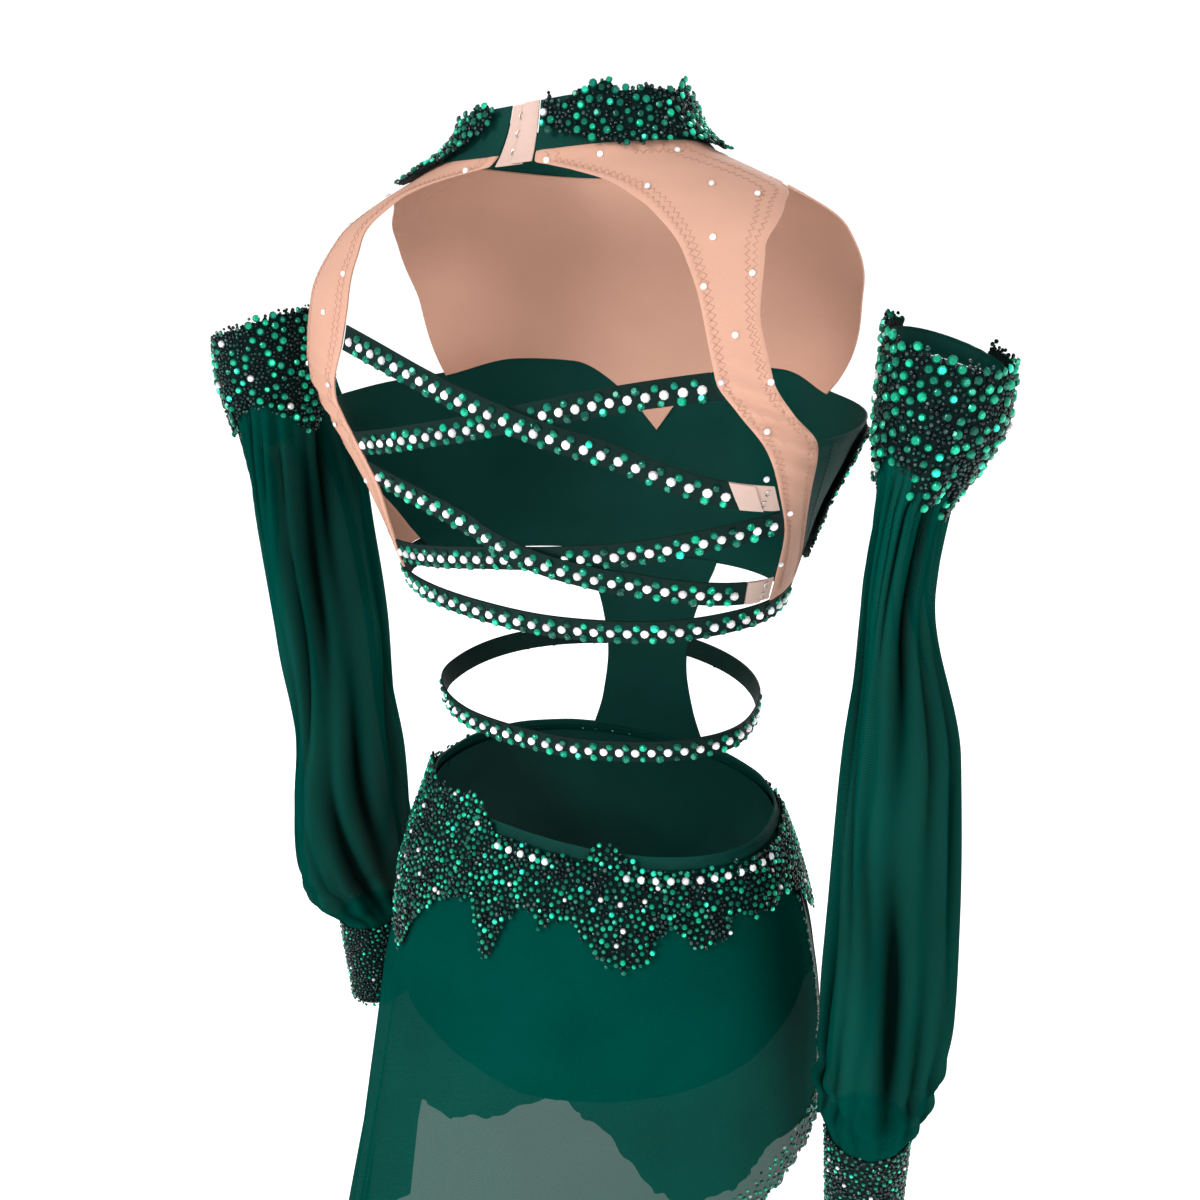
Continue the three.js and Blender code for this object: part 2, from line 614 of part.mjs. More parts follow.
// The gusset runs under the body from the back edge of the brief to the front edge
function addGusset() {
  const leg = line(BRIEF_LEG);
  const across = 4;
  const down = 10;
  const faces = [[], []];
  const end = (centre, s) => {
    const angle = mix(centre - GUSSET_ANGLE, centre + GUSSET_ANGLE, s);
    const height = leg(90 - abs(angle - centre)) - SEAM_GAP * 2;
    return lifted(figure, angle, height, base[0] + CLOTH / 2);
  };
  for (let j = 0; j <= down; j += 1) {
    const t = j / down;
    for (let i = 0; i <= across; i += 1) {
      const s = i / across;
      const back = end(90, s);
      const front = end(270, 1 - s);
      const middle = back.lerp(front, t);
      const bow = sin(PI * t);
      middle.x *= 1 - (1 - GUSSET_WAIST) * bow;
      middle.z -= CROTCH_DIP * bow ** 0.7;
      const out = new THREE.Vector3(0, cos(PI * t), -0.25 - bow).normalize();
      faces[0].push(middle.clone().addScaledVector(out, CLOTH / 2));
      faces[1].push(middle.clone().addScaledVector(out, -CLOTH / 2));
    }
  }
  add('brief_gusset', closed(faces, across + 1, across, down, false), 'green');
}

function addSkirt() {
  const panel = (name, hem, from, to, across, down) => {
    const hemAt = line(hem);
    const place = (s, t) => {
      const angle = mix(from, to, s);
      return [angle, mix(waistFoot(angle), hemAt(angle), t ** 1.25), ...skirtLevels];
    };
    add(name, sheet(skirt, across, down, place), 'mesh');
  };
  const gap = gapAngle(150);
  panel('skirt_back', HEM_BACK, LEFT_SEAM + gap, SLIT_BACK_EDGE, 32, 11);
  panel('skirt_front', HEM_FRONT, SLIT_FRONT_EDGE, LEFT_SEAM + 360 - gap, 36, 9);
}

function addHipLace() {
  const strips = { left: HIP_LACE_LEFT, back: HIP_LACE_BACK, right: HIP_LACE_RIGHT, front: HIP_LACE_FRONT };
  const climb = line(HIP_LACE_RISE);
  const top = (angle) => waistFoot(angle) - 1 + climb(((angle + 180) % 360) - 180);
  const gap = gapAngle(150);
  for (const [side, table] of Object.entries(strips)) {
    const from = table[0][0] + gap;
    const to = table.at(-1)[0] - gap;
    const across = (table.length - 1) * 2;
    const geometry = lace(skirt, hipLaceLevel, table.length, top, line(table), from, to, across, 3);
    add(`hip_applique_${side}`, geometry, 'beadwork');
  }
}

// ---- Sleeves

function addSleeve(side) {
  const table = side === 'left' ? SLEEVE_LEFT : SLEEVE_RIGHT;
  const surface = sleeveSurface(table, side === 'left' ? 1 : -1);
  const top = table[0][0];
  const wall = [0, CLOTH];
  const bandFoot = top - SLEEVE_BAND;
  const rows = [bandFoot - SEAM_GAP, ...table.slice(1).map((row) => row[0])];
  const band = (s, t) => [s * 360, mix(top, bandFoot, t), ...wall];
  const tube = (s, t) => [s * 360, rows[Math.round(t * (rows.length - 1))], ...wall];
  add(`sleeve_band_${side}`, sheet(surface, SLEEVE_COLUMNS, 1, band, true), 'green');
  add(`sleeve_${side}`, sheet(surface, SLEEVE_COLUMNS, rows.length - 1, tube, true), 'mesh');
  const outward = side === 'left' ? 0 : 180;
  const laceRows = [top + 4, bandFoot, ...LACE_ROWS];
  const lower = line(SLEEVE_LACE_FOOT);
  const mirrored = (angle) => lower((angle - outward) * (side === 'left' ? 1 : -1));
  const column = 360 / SLEEVE_COLUMNS;
  const [from, to] = side === 'left' ? [-5 * column, 16 * column] : [180 - 16 * column, 180 + 5 * column];
  const level = CLOTH + 2 * LAYER_GAP;
  const place = (s, t) => {
    const angle = mix(from, to, s);
    const rim = min(s * 20, (1 - s) * 20, t * 4, (1 - t) * 4, 1);
    const bump = abs(sin(s * PI * 9) * sin(t * PI * 2 + s * 5)) * BEAD_RISE * rim;
    const row = laceRows[Math.round(t * 4)] ?? mirrored(angle);
    return [angle, row, level, level + LACE + bump];
  };
  add(`sleeve_applique_${side}`, sheet(surface, 21, 4, place), 'beadwork');
  addCuff(side, table.at(-1));
}

function addCuff(side, [end, reach, middle, across, depth]) {
  const x = side === 'left' ? reach : -reach;
  const cuff = (angle, height) => {
    const taper = CUFF_TAPER * ((end - height) / CUFF_LENGTH);
    const turn = radians(angle);
    return new THREE.Vector3(x + (across - taper) * cos(turn), middle + (depth - taper) * sin(turn), height);
  };
  const beads = (s, t) => 0.5 * abs(sin(s * PI * 12 + t * 9));
  const place = (s, t) => [s * 360, mix(end - SEAM_GAP, end - CUFF_LENGTH, t), 0, CLOTH + 0.4 + beads(s, t)];
  add(`cuff_${side}`, sheet(cuff, 24, 2, place, true), 'beadwork');
}

addCollar();
addCollarLace();
addBackYoke('right');
addBackYoke('left');
addFrontYoke();
addBodice();
addStraps();
addStrapClosures();
addFrontPanel();
addWaistband();
addBrief();
addGusset();
addSkirt();
addHipLace();
addSleeve('right');
addSleeve('left');

export default dress;
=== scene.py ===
# %% [markdown]
# # A lyrical dance dress
#
# The dress keeps the hollow form of the figure it was cut for, with nobody in it. Each sheet of cloth is
# shaped in code from a few small tables of body measures, because cloth follows a body more closely than
# any primitive can. Stones, beads and hooks are modelled once with Blender's own tools, then copied to
# their places, and stitches are threads along their own paths.

# %% Load the frame
import bpy
import numpy as np
from mathutils import Matrix


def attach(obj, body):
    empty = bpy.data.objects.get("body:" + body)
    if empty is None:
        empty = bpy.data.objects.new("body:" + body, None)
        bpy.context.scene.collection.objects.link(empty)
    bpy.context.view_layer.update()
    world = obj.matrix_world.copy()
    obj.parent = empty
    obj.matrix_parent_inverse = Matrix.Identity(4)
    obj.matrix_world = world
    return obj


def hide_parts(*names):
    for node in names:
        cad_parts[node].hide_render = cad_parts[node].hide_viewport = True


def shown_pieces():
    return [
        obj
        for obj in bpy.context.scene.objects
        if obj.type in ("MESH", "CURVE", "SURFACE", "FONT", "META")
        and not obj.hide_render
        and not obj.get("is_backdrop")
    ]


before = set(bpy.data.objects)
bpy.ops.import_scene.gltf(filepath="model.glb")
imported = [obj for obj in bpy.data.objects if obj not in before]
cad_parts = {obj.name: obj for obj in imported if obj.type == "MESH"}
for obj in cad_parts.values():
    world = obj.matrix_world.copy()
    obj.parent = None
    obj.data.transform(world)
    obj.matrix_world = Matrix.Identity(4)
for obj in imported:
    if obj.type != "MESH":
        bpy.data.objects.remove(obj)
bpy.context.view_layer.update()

MM = 0.001  # measures below are in millimetres, and Blender works in metres
chance = np.random.default_rng(7)


def unit(vectors):
    """The same directions with length 1."""
    return vectors / np.linalg.norm(vectors, axis=-1, keepdims=True)


print("nodes in the frame:", len(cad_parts))

# %% [markdown]
# ## Camera
#
# The dress is seen from behind and a little above, from the wearer's right. A camera's own axes are across,
# over and backwards, so those three directions are the columns of its matrix.

# %% Camera
CAMERA_PLACE = np.array([-343.7, 646.3, -19.0])
CAMERA_TURN, CAMERA_DOWN, CAMERA_ROLL = np.radians([27.4, 19.9, -1.9])
PICTURE_WIDTH = 1200
FOCAL_PIXELS = 1135
FILM_WIDTH = 36

ahead = np.array([
    np.sin(CAMERA_TURN) * np.cos(CAMERA_DOWN),
    -np.cos(CAMERA_TURN) * np.cos(CAMERA_DOWN),
    -np.sin(CAMERA_DOWN),
])
level = unit(np.cross(ahead, (0, 0, 1)))
upward = np.cross(level, ahead)
across = np.cos(CAMERA_ROLL) * level + np.sin(CAMERA_ROLL) * upward
over = -np.sin(CAMERA_ROLL) * level + np.cos(CAMERA_ROLL) * upward
camera_matrix = np.eye(4)
camera_matrix[:3] = np.column_stack([across, over, -ahead, CAMERA_PLACE * MM])
camera = bpy.data.objects.new("camera", bpy.data.cameras.new("camera"))
camera.data.sensor_width = FILM_WIDTH
camera.data.lens = FILM_WIDTH * FOCAL_PIXELS / PICTURE_WIDTH
camera.matrix_world = Matrix(camera_matrix.tolist())
bpy.context.scene.collection.objects.link(camera)
bpy.context.scene.camera = camera
print("lens:", round(camera.data.lens, 2))

# %% [markdown]
# ## Shaders from Python
#
# A Value wraps one socket, so that sums and products of sockets read like arithmetic and add their Math
# nodes by themselves. A Finish is one material, and its node method makes any other node.


# %% Shader tools
class Value:
    """A node's output that Python can calculate with."""

    def __init__(self, finish, socket):
        self.finish = finish
        self.socket = socket

    def maths(self, operation, *others):
        inputs = dict(enumerate([self, *others]))
        return self.finish.node("ShaderNodeMath", {"operation": operation}, inputs)

    def __add__(self, other):
        return self.maths("ADD", other)

    def __mul__(self, other):
        return self.maths("MULTIPLY", other)

    def __sub__(self, other):
        return self.maths("SUBTRACT", other)

    def __rsub__(self, other):
        return self.finish.node("ShaderNodeMath", {"operation": "SUBTRACT"}, {0: other, 1: self})

    __radd__ = __add__
    __rmul__ = __mul__


class Finish:
    """A material with one Principled surface."""

    def __init__(self, name, **sockets):
        self.material = bpy.data.materials.new(name)
        self.material.use_nodes = True
        self.tree = self.material.node_tree
        self.surface = self.tree.nodes["Principled BSDF"]
        for socket, value in sockets.items():
            self.surface.inputs[socket.replace("_", " ")].default_value = value

    def node(self, kind, settings=None, inputs=None, out=0):
        made = self.tree.nodes.new(kind)
        for key, value in (settings or {}).items():
            setattr(made, key, value)
        for key, value in (inputs or {}).items():
            self.feed(made.inputs[key], value)
        return Value(self, made.outputs[out])

    def feed(self, socket, value):
        if isinstance(value, Value):
            self.tree.links.new(value.socket, socket)
        else:
            socket.default_value = value

    def between(self, share, first, second):
        """A colour from first to second."""
        return self.node("ShaderNodeMix", {"data_type": "RGBA"}, {0: share, 6: first, 7: second}, out=2)

    def noise(self, scale, detail=2.0, where=None):
        where = where or self.node("ShaderNodeTexCoord", out=3)
        return self.node("ShaderNodeTexNoise", None, {"Vector": where, "Scale": scale, "Detail": detail})

    def bump(self, height, depth):
        """Relief from a height between 0 and 1, depth in metres."""
        return self.node("ShaderNodeBump", None, {"Strength": 1.0, "Distance": depth, "Height": height})

    def along(self):
        """The cloth's own UV map, in millimetres, as two values."""
        where = self.node("ShaderNodeUVMap", {"uv_map": "UVMap"})
        parts = self.node("ShaderNodeSeparateXYZ", None, {0: where})
        return parts, Value(self, parts.socket.node.outputs[1])

    def set(self, **sockets):
        for socket, value in sockets.items():
            self.feed(self.surface.inputs[socket.replace("_", " ")], value)
        return self.material


def colour(red, green, blue):
    return (red, green, blue, 1.0)


print("shader tools ready")

# %% [markdown]
# ## Knitted cloth
#
# The collar, straps, brief and cups are stretch satin, the yoke is skin-coloured power mesh, and the skirt
# and sleeves are a much thinner green mesh. All three are knits, so the same two waves along the cloth's UV
# map make the loops. Only their size, colour and depth differ.


# %% Cloth finishes
def knit(finish, pitch, slant=0.0):
    """0 in the holes and 1 on the threads of a knit with that pitch in millimetres."""
    u, v = finish.along()
    turn = 2 * np.pi / pitch
    wales = (u * turn + v * (turn * slant)).maths("SINE")
    courses = (v * turn - u * (turn * slant)).maths("SINE")
    return (wales * courses) * 0.5 + 0.5


def cloth_finish(name, dark, light, pitch, depth, alpha=None, mottle=9.0, **sockets):
    """Knitted cloth. Where its points mark a deep fold with 1, its colour takes a painted shade, far darker,
    and the mesh lets less through, as bunched cloth does.
    """
    finish = Finish(name, **sockets)
    loops = knit(finish, pitch, 0.18)
    patches = finish.noise(mottle, 4.0)
    share = (loops * 0.35 + patches * 0.9).maths("SUBTRACT", 0.1)
    tone = finish.between(share, colour(*dark), colour(*light))
    if alpha:
        # painted shade: in deep folds the colour darkens towards a fifth of the dark tone, and the same value
        # makes the mesh more opaque, as bunched layers are
        bunching_and_shade = finish.node("ShaderNodeAttribute", {"attribute_name": "bunching_and_shade"}, out=2)
        tone = finish.between(bunching_and_shade, tone, colour(*(0.2 * np.array(dark))))
    made = {"Base_Color": tone, "Normal": finish.bump(loops, depth)}
    made["Roughness"] = finish.node("ShaderNodeMapRange", None, {0: patches, 3: 0.75, 4: 0.5})
    if alpha:
        open_share = finish.node("ShaderNodeMapRange", None, {0: loops, 3: 1 - alpha[0], 4: 1 - alpha[1]})
        made["Alpha"] = 1 - open_share * (1 - bunching_and_shade * 0.85)
    return finish.set(**made)


satin = cloth_finish(
    "green_stretch_satin", (0.0, 0.020, 0.016), (0.0, 0.056, 0.044), 0.7, 0.00008, Specular_IOR_Level=0.1,
)
strap_satin = cloth_finish(
    "dark_strap_satin", (0.0, 0.005, 0.004), (0.0, 0.020, 0.016), 0.7, 0.00008, Specular_IOR_Level=0.12,
)
sheer = cloth_finish(
    "green_sheer_mesh", (0.0, 0.026, 0.021), (0.0, 0.068, 0.052), 1.5, 0.0001, (0.90, 0.98),
    Specular_IOR_Level=0.0,
)
skin_mesh = cloth_finish(
    "nude_power_mesh", (0.50, 0.270, 0.192), (0.67, 0.380, 0.282), 1.1, 0.00006, Specular_IOR_Level=0.2,
)
tape_cloth = cloth_finish(
    "nude_hook_tape", (0.52, 0.33, 0.27), (0.74, 0.55, 0.48), 0.9, 0.00012, (0.86, 1.0),
)
lace_ground = cloth_finish(
    "dark_lace_ground", (0.0, 0.002, 0.003), (0.0, 0.016, 0.014), 2.2, 0.0005, mottle=60.0,
    Specular_IOR_Level=0.1,
)
print("cloth finishes made")

# %% [markdown]
# ## Stones and beads
#
# Cut glass on a foil back is mirror-like and coloured at once, which a half-metallic surface shows well. The
# cut stones and crystals also glow faintly in their own colour, a painted sparkle. A stone's own colour is
# stored on its points together with a painted shade that is brighter at its top and darker at its foot, so
# thousands of stones share one material and still differ.


# %% Stone finishes
def stone_finish(name, metal, rough, painted_glow=0.0, **sockets):
    # painted light: the emission makes cut glass and crystals glow faintly in their own colour, a painted
    # sparkle
    finish = Finish(name, Metallic=metal, Emission_Strength=painted_glow, **sockets)
    # the points' colour holds each stone's own colour times a painted shade, brighter at its top and darker
    # at its foot
    tint_and_rim_shade = finish.node("ShaderNodeAttribute", {"attribute_name": "tint_and_rim_shade"})
    glass = finish.noise(900.0, 1.0)
    deep = finish.node("ShaderNodeMix", {"data_type": "RGBA", "blend_type": "MULTIPLY"}, {
        0: 0.5, 6: tint_and_rim_shade, 7: finish.between(glass, colour(0.5, 0.5, 0.5), colour(1.4, 1.4, 1.4)),
    }, out=2)
    cloudy = finish.node("ShaderNodeMapRange", None, {0: glass, 3: rough * 0.7, 4: rough * 1.4})
    return finish.set(
        Base_Color=deep, Emission_Color=deep, Roughness=cloudy, Normal=finish.bump(glass, 0.00004))


def thread_finish(name, dark, light, rough):
    finish = Finish(name, Sheen_Weight=0.2)
    ply = finish.noise(1500.0, 2.0)
    return finish.set(
        Base_Color=finish.between(ply, colour(*dark), colour(*light)), Roughness=ply * 0.2 + rough,
        Normal=finish.bump(ply, 0.00005))


# painted sparkle: the third number is how strongly each kind of stone glows in its own colour
cut_glass = stone_finish("cut_glass", 0.5, 0.16, 0.25)
clear_crystal = stone_finish("clear_crystal", 0.15, 0.1, 0.38)
glass_bead = stone_finish("glass_bead", 0.2, 0.18, Specular_IOR_Level=0.4)

thread = thread_finish("sewing_thread", (0.38, 0.185, 0.125), (0.52, 0.28, 0.20), 0.6)
green_thread = thread_finish("green_thread", (0.0005, 0.020, 0.016), (0.002, 0.06, 0.046), 0.5)
wire_finish = Finish("hook_wire", Metallic=1.0)
tarnish = wire_finish.noise(700.0, 2.0)
wire = wire_finish.set(
    Base_Color=wire_finish.between(tarnish, colour(0.62, 0.58, 0.55), colour(0.82, 0.79, 0.76)),
    Roughness=tarnish * 0.2 + 0.15,
)
print("stone, thread and wire finishes made")

# %% [markdown]
# ## The figure
#
# Level sections of a general figure, each a rounded oblong with a half width, a depth in front, a depth
# behind and a squareness. A place is an angle and a height: 0 degrees is the wearer's left side, 90 the
# centre back, 180 the right side, 270 the centre front, and height 0 is the nape.

# %% Figure
FIGURE = [
    (70, 60, 84, 26, 2), (40, 62, 82, 30, 2), (15, 70, 80, 36, 2), (0, 84, 79, 42, 2),
    (-12, 110, 78, 49, 2), (-25, 138, 78, 57, 2.1), (-45, 168, 82, 67, 2.3), (-80, 190, 92, 80, 2.5),
    (-120, 195, 104, 87, 2.6), (-165, 178, 113, 90, 2.4), (-205, 158, 117, 88, 2.25),
    (-240, 144, 114, 83, 2.2), (-280, 131, 104, 75, 2.2), (-330, 119, 96, 65, 2.2),
    (-375, 114, 93, 61, 2.2), (-420, 122, 95, 69, 2.2), (-470, 140, 100, 92, 2.2),
    (-530, 156, 104, 116, 2.2), (-590, 162, 104, 124, 2.2), (-650, 160, 100, 118, 2.2),
    (-700, 158, 96, 108, 2.2),
]
CUP_CENTRES = (238, 302)
CUP_HEIGHT = -205
CUP_DOME = 9
CUP_SPREAD_ANGLE = 20
CUP_SPREAD_HEIGHT = 42
ARM_HOLLOWS = (204, 336)
ARM_HOLLOW_HEIGHT = -162
ARM_HOLLOW_DEPTH = 24
ARM_HOLLOW_SPREAD_ANGLE = 17
ARM_HOLLOW_SPREAD_HEIGHT = 52


def smooth(table):
    """A curve through a table's rows that never overshoots; gives all columns after the first."""
    rows = np.array(sorted(table), float)
    x, y = rows[:, 0], rows[:, 1:]
    slope = np.diff(y, axis=0) / np.diff(x)[:, None]
    agree = slope[:-1] * slope[1:] > 0
    total = np.where(agree, slope[:-1] + slope[1:], 1)
    inner = np.where(agree, 2 * slope[:-1] * slope[1:] / total, 0)
    tangent = np.vstack([slope[:1], inner, slope[-1:]])

    def at(where):
        where = np.clip(where, x[0], x[-1])
        k = np.clip(np.searchsorted(x, where, side="right") - 1, 0, len(x) - 2)
        span = (x[k + 1] - x[k])[..., None]
        t = (where - x[k])[..., None] / span
        start = (2 * t**3 - 3 * t**2 + 1) * y[k] + (t**3 - 2 * t**2 + t) * span * tangent[k]
        return start + (3 * t**2 - 2 * t**3) * y[k + 1] + (t**3 - t**2) * span * tangent[k + 1]

    return at


def line(table):
    """The same for a table with two columns, as one value."""
    through = smooth(table)
    return lambda where: through(np.asarray(where, float))[..., 0]


def mix(first, second, share):
    return first + (second - first) * share


def sine(degrees):
    return np.sin(np.radians(degrees))


def cosine(degrees):
    return np.cos(np.radians(degrees))


def rise(low, high, x):
    """0 below low, 1 above high and smooth between."""
    t = np.clip((x - low) / (high - low), 0, 1)
    return t * t * (3 - 2 * t)


figure_section = smooth(FIGURE)


def figure(angle, height):
    angle, height = np.broadcast_arrays(np.asarray(angle, float), np.asarray(height, float))
    half_width, front, back, square = np.moveaxis(figure_section(height), -1, 0)
    x, y = cosine(angle), sine(angle)
    depth = np.where(y > 0, back, front)
    out = (np.abs(x / half_width)**square + np.abs(y / depth)**square)**(-1 / square)
    for centre in CUP_CENTRES:
        turned = (angle % 360 - centre) / CUP_SPREAD_ANGLE
        out = out + CUP_DOME * np.exp(-turned**2 - ((height - CUP_HEIGHT) / CUP_SPREAD_HEIGHT)**2)
    for centre in ARM_HOLLOWS:
        turned = (angle % 360 - centre) / ARM_HOLLOW_SPREAD_ANGLE
        up = (height - ARM_HOLLOW_HEIGHT) / ARM_HOLLOW_SPREAD_HEIGHT
        out = out - ARM_HOLLOW_DEPTH * np.exp(-turned**2 - up**2)
    return np.stack([out * x, out * y, height], -1)


def lifted(surface, angle, height, lift):
    """Points moved straight out from a surface, and the outward directions."""
    turned = surface(angle + 0.4, height) - surface(angle - 0.4, height)
    down = surface(angle, height - 0.6) - surface(angle, height + 0.6)
    out = unit(np.cross(down, turned))
    return surface(angle, height) + out * np.asarray(lift)[..., None], out


print("waist at the back:", figure(90, -375).round(1))

# %% [markdown]
# ## Cloth from a grid
#
# A sheet is a grid of points on a surface. Its UV map is the distance along its own rows and columns, so a
# knit keeps its size wherever the cloth goes. Opaque cloth then gets its wall from a Solidify modifier, and
# sheer cloth stays one layer, because its look is how much shows through one layer or two.


# %% Mesh helpers
def new_object(name, points, faces, material, smooth_faces=True):
    """An object from points in millimetres and faces that all have the same number of corners."""
    faces = np.asarray(faces)
    mesh = bpy.data.meshes.new(name)
    mesh.vertices.add(len(points))
    mesh.vertices.foreach_set("co", (np.asarray(points) * MM).ravel())
    mesh.loops.add(faces.size)
    mesh.loops.foreach_set("vertex_index", faces.ravel())
    mesh.polygons.add(len(faces))
    mesh.polygons.foreach_set("loop_start", np.arange(0, faces.size, faces.shape[1]))
    mesh.polygons.foreach_set("use_smooth", [smooth_faces] * len(faces))
    mesh.update(calc_edges=True)
    mesh.materials.append(material)
    made = bpy.data.objects.new(name, mesh)
    bpy.context.scene.collection.objects.link(made)
    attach(made, "root")
    return made


def grid_faces(rows, columns, loop):
    """Quads of a grid, facing out when its columns run round with the angle and its rows run down."""
    last = columns if loop else columns - 1
    j, i = np.meshgrid(np.arange(rows - 1), np.arange(last), indexing="ij")
    after = (i + 1) % columns
    corners = [j * columns + i, (j + 1) * columns + i, (j + 1) * columns + after, j * columns + after]
    return np.stack(corners, -1).reshape(-1, 4)


def thicken(made, wall):
    bpy.ops.object.select_all(action="DESELECT")
    bpy.context.view_layer.objects.active = made
    made.select_set(True)
    bpy.ops.object.modifier_add(type="SOLIDIFY")
    made.modifiers[-1].thickness = wall * MM
    made.modifiers[-1].offset = -1
    bpy.ops.object.modifier_apply(modifier=made.modifiers[-1].name)
    bpy.ops.object.shade_smooth_by_angle(angle=np.radians(50))


sheets = {}
NARROWEST_CUT = 10


def cloth(name, surface, across, down, place, material, wall=1.0, loop=False, nodes=(),
          bunching_and_shade=None):
    """A sheet of across by down cells. place(s, t) gives the angle, the height and the lift of its outer
    side, the fold function how deep it lies in a fold at an angle and a height, stored on the points for a
    sheer finish to darken as painted shade, and a wall of 0 leaves it one layer."""
    s, t = np.meshgrid(np.linspace(0, 1, across + 1), np.linspace(0, 1, down + 1))
    points, _ = lifted(surface, *place(s, t))
    step_across = np.linalg.norm(np.diff(points, axis=1), axis=-1)
    step_down = np.linalg.norm(np.diff(points, axis=0), axis=-1)
    u = np.pad(np.cumsum(step_across, axis=1), ((0, 0), (1, 0)))
    u -= u[:, across // 2, None]
    v = np.pad(np.cumsum(step_down, axis=0), ((1, 0), (0, 0)))
    columns = across if loop else across + 1
    made = new_object(
        f"{name}_cloth", points[:, :columns].reshape(-1, 3), grid_faces(down + 1, columns, loop), material)
    corners = grid_faces(down + 1, across + 1, False)
    uv = np.stack([u, v], -1).reshape(-1, 2)[corners]
    made.data.uv_layers.new(name="UVMap").data.foreach_set("uv", uv.ravel())
    # painted shade in the folds: how deep each point lies in a fold is stored on the points, where the sheer
    # finish darkens the colour
    if bunching_and_shade:
        deep = bunching_and_shade(*place(s, t)[:2])[:, :columns]
        made.data.attributes.new("bunching_and_shade", "FLOAT", "POINT").data.foreach_set("value", deep.ravel())
    if wall:
        thicken(made, wall)
    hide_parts(*(nodes or [name]))
    width, length = step_across.sum(1).max(), max(step_down.sum(0).max(), NARROWEST_CUT)
    # Side times side leaves out the angle between them, so a slanted sheet's area comes out too large.
    sheets[name] = (round(width), round(length))
    return made


print("cloth helper ready")

# %% [markdown]
# ## One stone, one bead, one chip
#
# A cut stone is a low cone of eight facets with a flat table on top, so a cone primitive is cut low and
# its top face is inset. A bead is a round dome whose hidden underside is bisected away. A chip is the small
# six-sided bead that fills the space between. Each becomes a pattern of points and triangles that the
# helpers below repeat.


# %% Patterns
def start_primitive(add, **sizes):
    bpy.ops.object.select_all(action="DESELECT")
    add(**sizes)
    bpy.ops.object.mode_set(mode="EDIT")
    bpy.ops.mesh.select_all(action="DESELECT")
    bpy.ops.mesh.select_mode(type="FACE")
    bpy.ops.object.mode_set(mode="OBJECT")
    return bpy.context.object


def pick_faces(made, wanted):
    for face in made.data.polygons:
        face.select = bool(wanted(face))
    bpy.ops.object.mode_set(mode="EDIT")


def as_pattern(made):
    """Its points and triangles, after which the object itself goes."""
    bpy.ops.object.mode_set(mode="EDIT")
    bpy.ops.mesh.select_all(action="SELECT")
    bpy.ops.mesh.quads_convert_to_tris()
    bpy.ops.object.mode_set(mode="OBJECT")
    points = np.array([vertex.co[:] for vertex in made.data.vertices])
    faces = np.array([face.vertices[:] for face in made.data.polygons])
    bpy.data.objects.remove(made)
    print("pattern of", len(faces), "triangles")
    return points, faces


def cut_stone(sides, table, depth):
    """A faceted stone one unit wide, standing on z = 0."""
    made = start_primitive(
        bpy.ops.mesh.primitive_cone_add, vertices=sides, radius1=0.5, radius2=table, depth=depth,
        location=(0, 0, depth / 2))
    pick_faces(made, lambda face: face.normal.z > 0.9)
    bpy.ops.mesh.inset(thickness=0.09)
    bpy.ops.transform.translate(value=(0, 0, 0.07))
    bpy.ops.object.mode_set(mode="OBJECT")
    pick_faces(made, lambda face: face.normal.z < -0.9)
    bpy.ops.mesh.delete(type="ONLY_FACE")
    bpy.ops.object.mode_set(mode="OBJECT")
    bpy.ops.object.transform_apply()
    return as_pattern(made)


DOME_CUT = 0.15  # how far below its middle a bead is cut off


def dome(segments, rings, flatness):
    """A bead one unit wide, standing on z = 0."""
    made = start_primitive(
        bpy.ops.mesh.primitive_uv_sphere_add, segments=segments, ring_count=rings, radius=0.5)
    pick_faces(made, lambda face: True)
    bpy.ops.mesh.bisect(plane_co=(0, 0, -DOME_CUT), plane_no=(0, 0, 1), clear_inner=True)
    bpy.ops.object.mode_set(mode="OBJECT")
    points, faces = as_pattern(made)
    return (points + (0, 0, DOME_CUT)) * (1, 1, flatness), faces


stone = cut_stone(8, 0.36, 0.26)
bead = dome(7, 5, 0.8)
chip = dome(6, 4, 1.0)

# %% [markdown]
# ## Sewing many on
#
# Beads are packed as a beader packs them: the large stones first, well apart, then ever smaller beads in
# what is left. A place is kept only when no earlier bead is too close.


# %% Sewing helpers
def frames(outs, lean, spin=None):
    """Three axes for each bead. The third leans a little from outwards, and spin turns the other two."""
    count = len(outs)
    outs = unit(outs + lean * chance.normal(size=(count, 3)))
    helper = np.where(np.abs(outs[:, 2:]) > 0.9, (1.0, 0.0, 0.0), (0.0, 0.0, 1.0))
    first = unit(np.cross(helper, outs))
    second = np.cross(outs, first)
    turn = (chance.uniform(0, 2 * np.pi, count) if spin is None else np.full(count, spin))[:, None]
    c, s = np.cos(turn), np.sin(turn)
    return c * first + s * second, c * second - s * first, outs


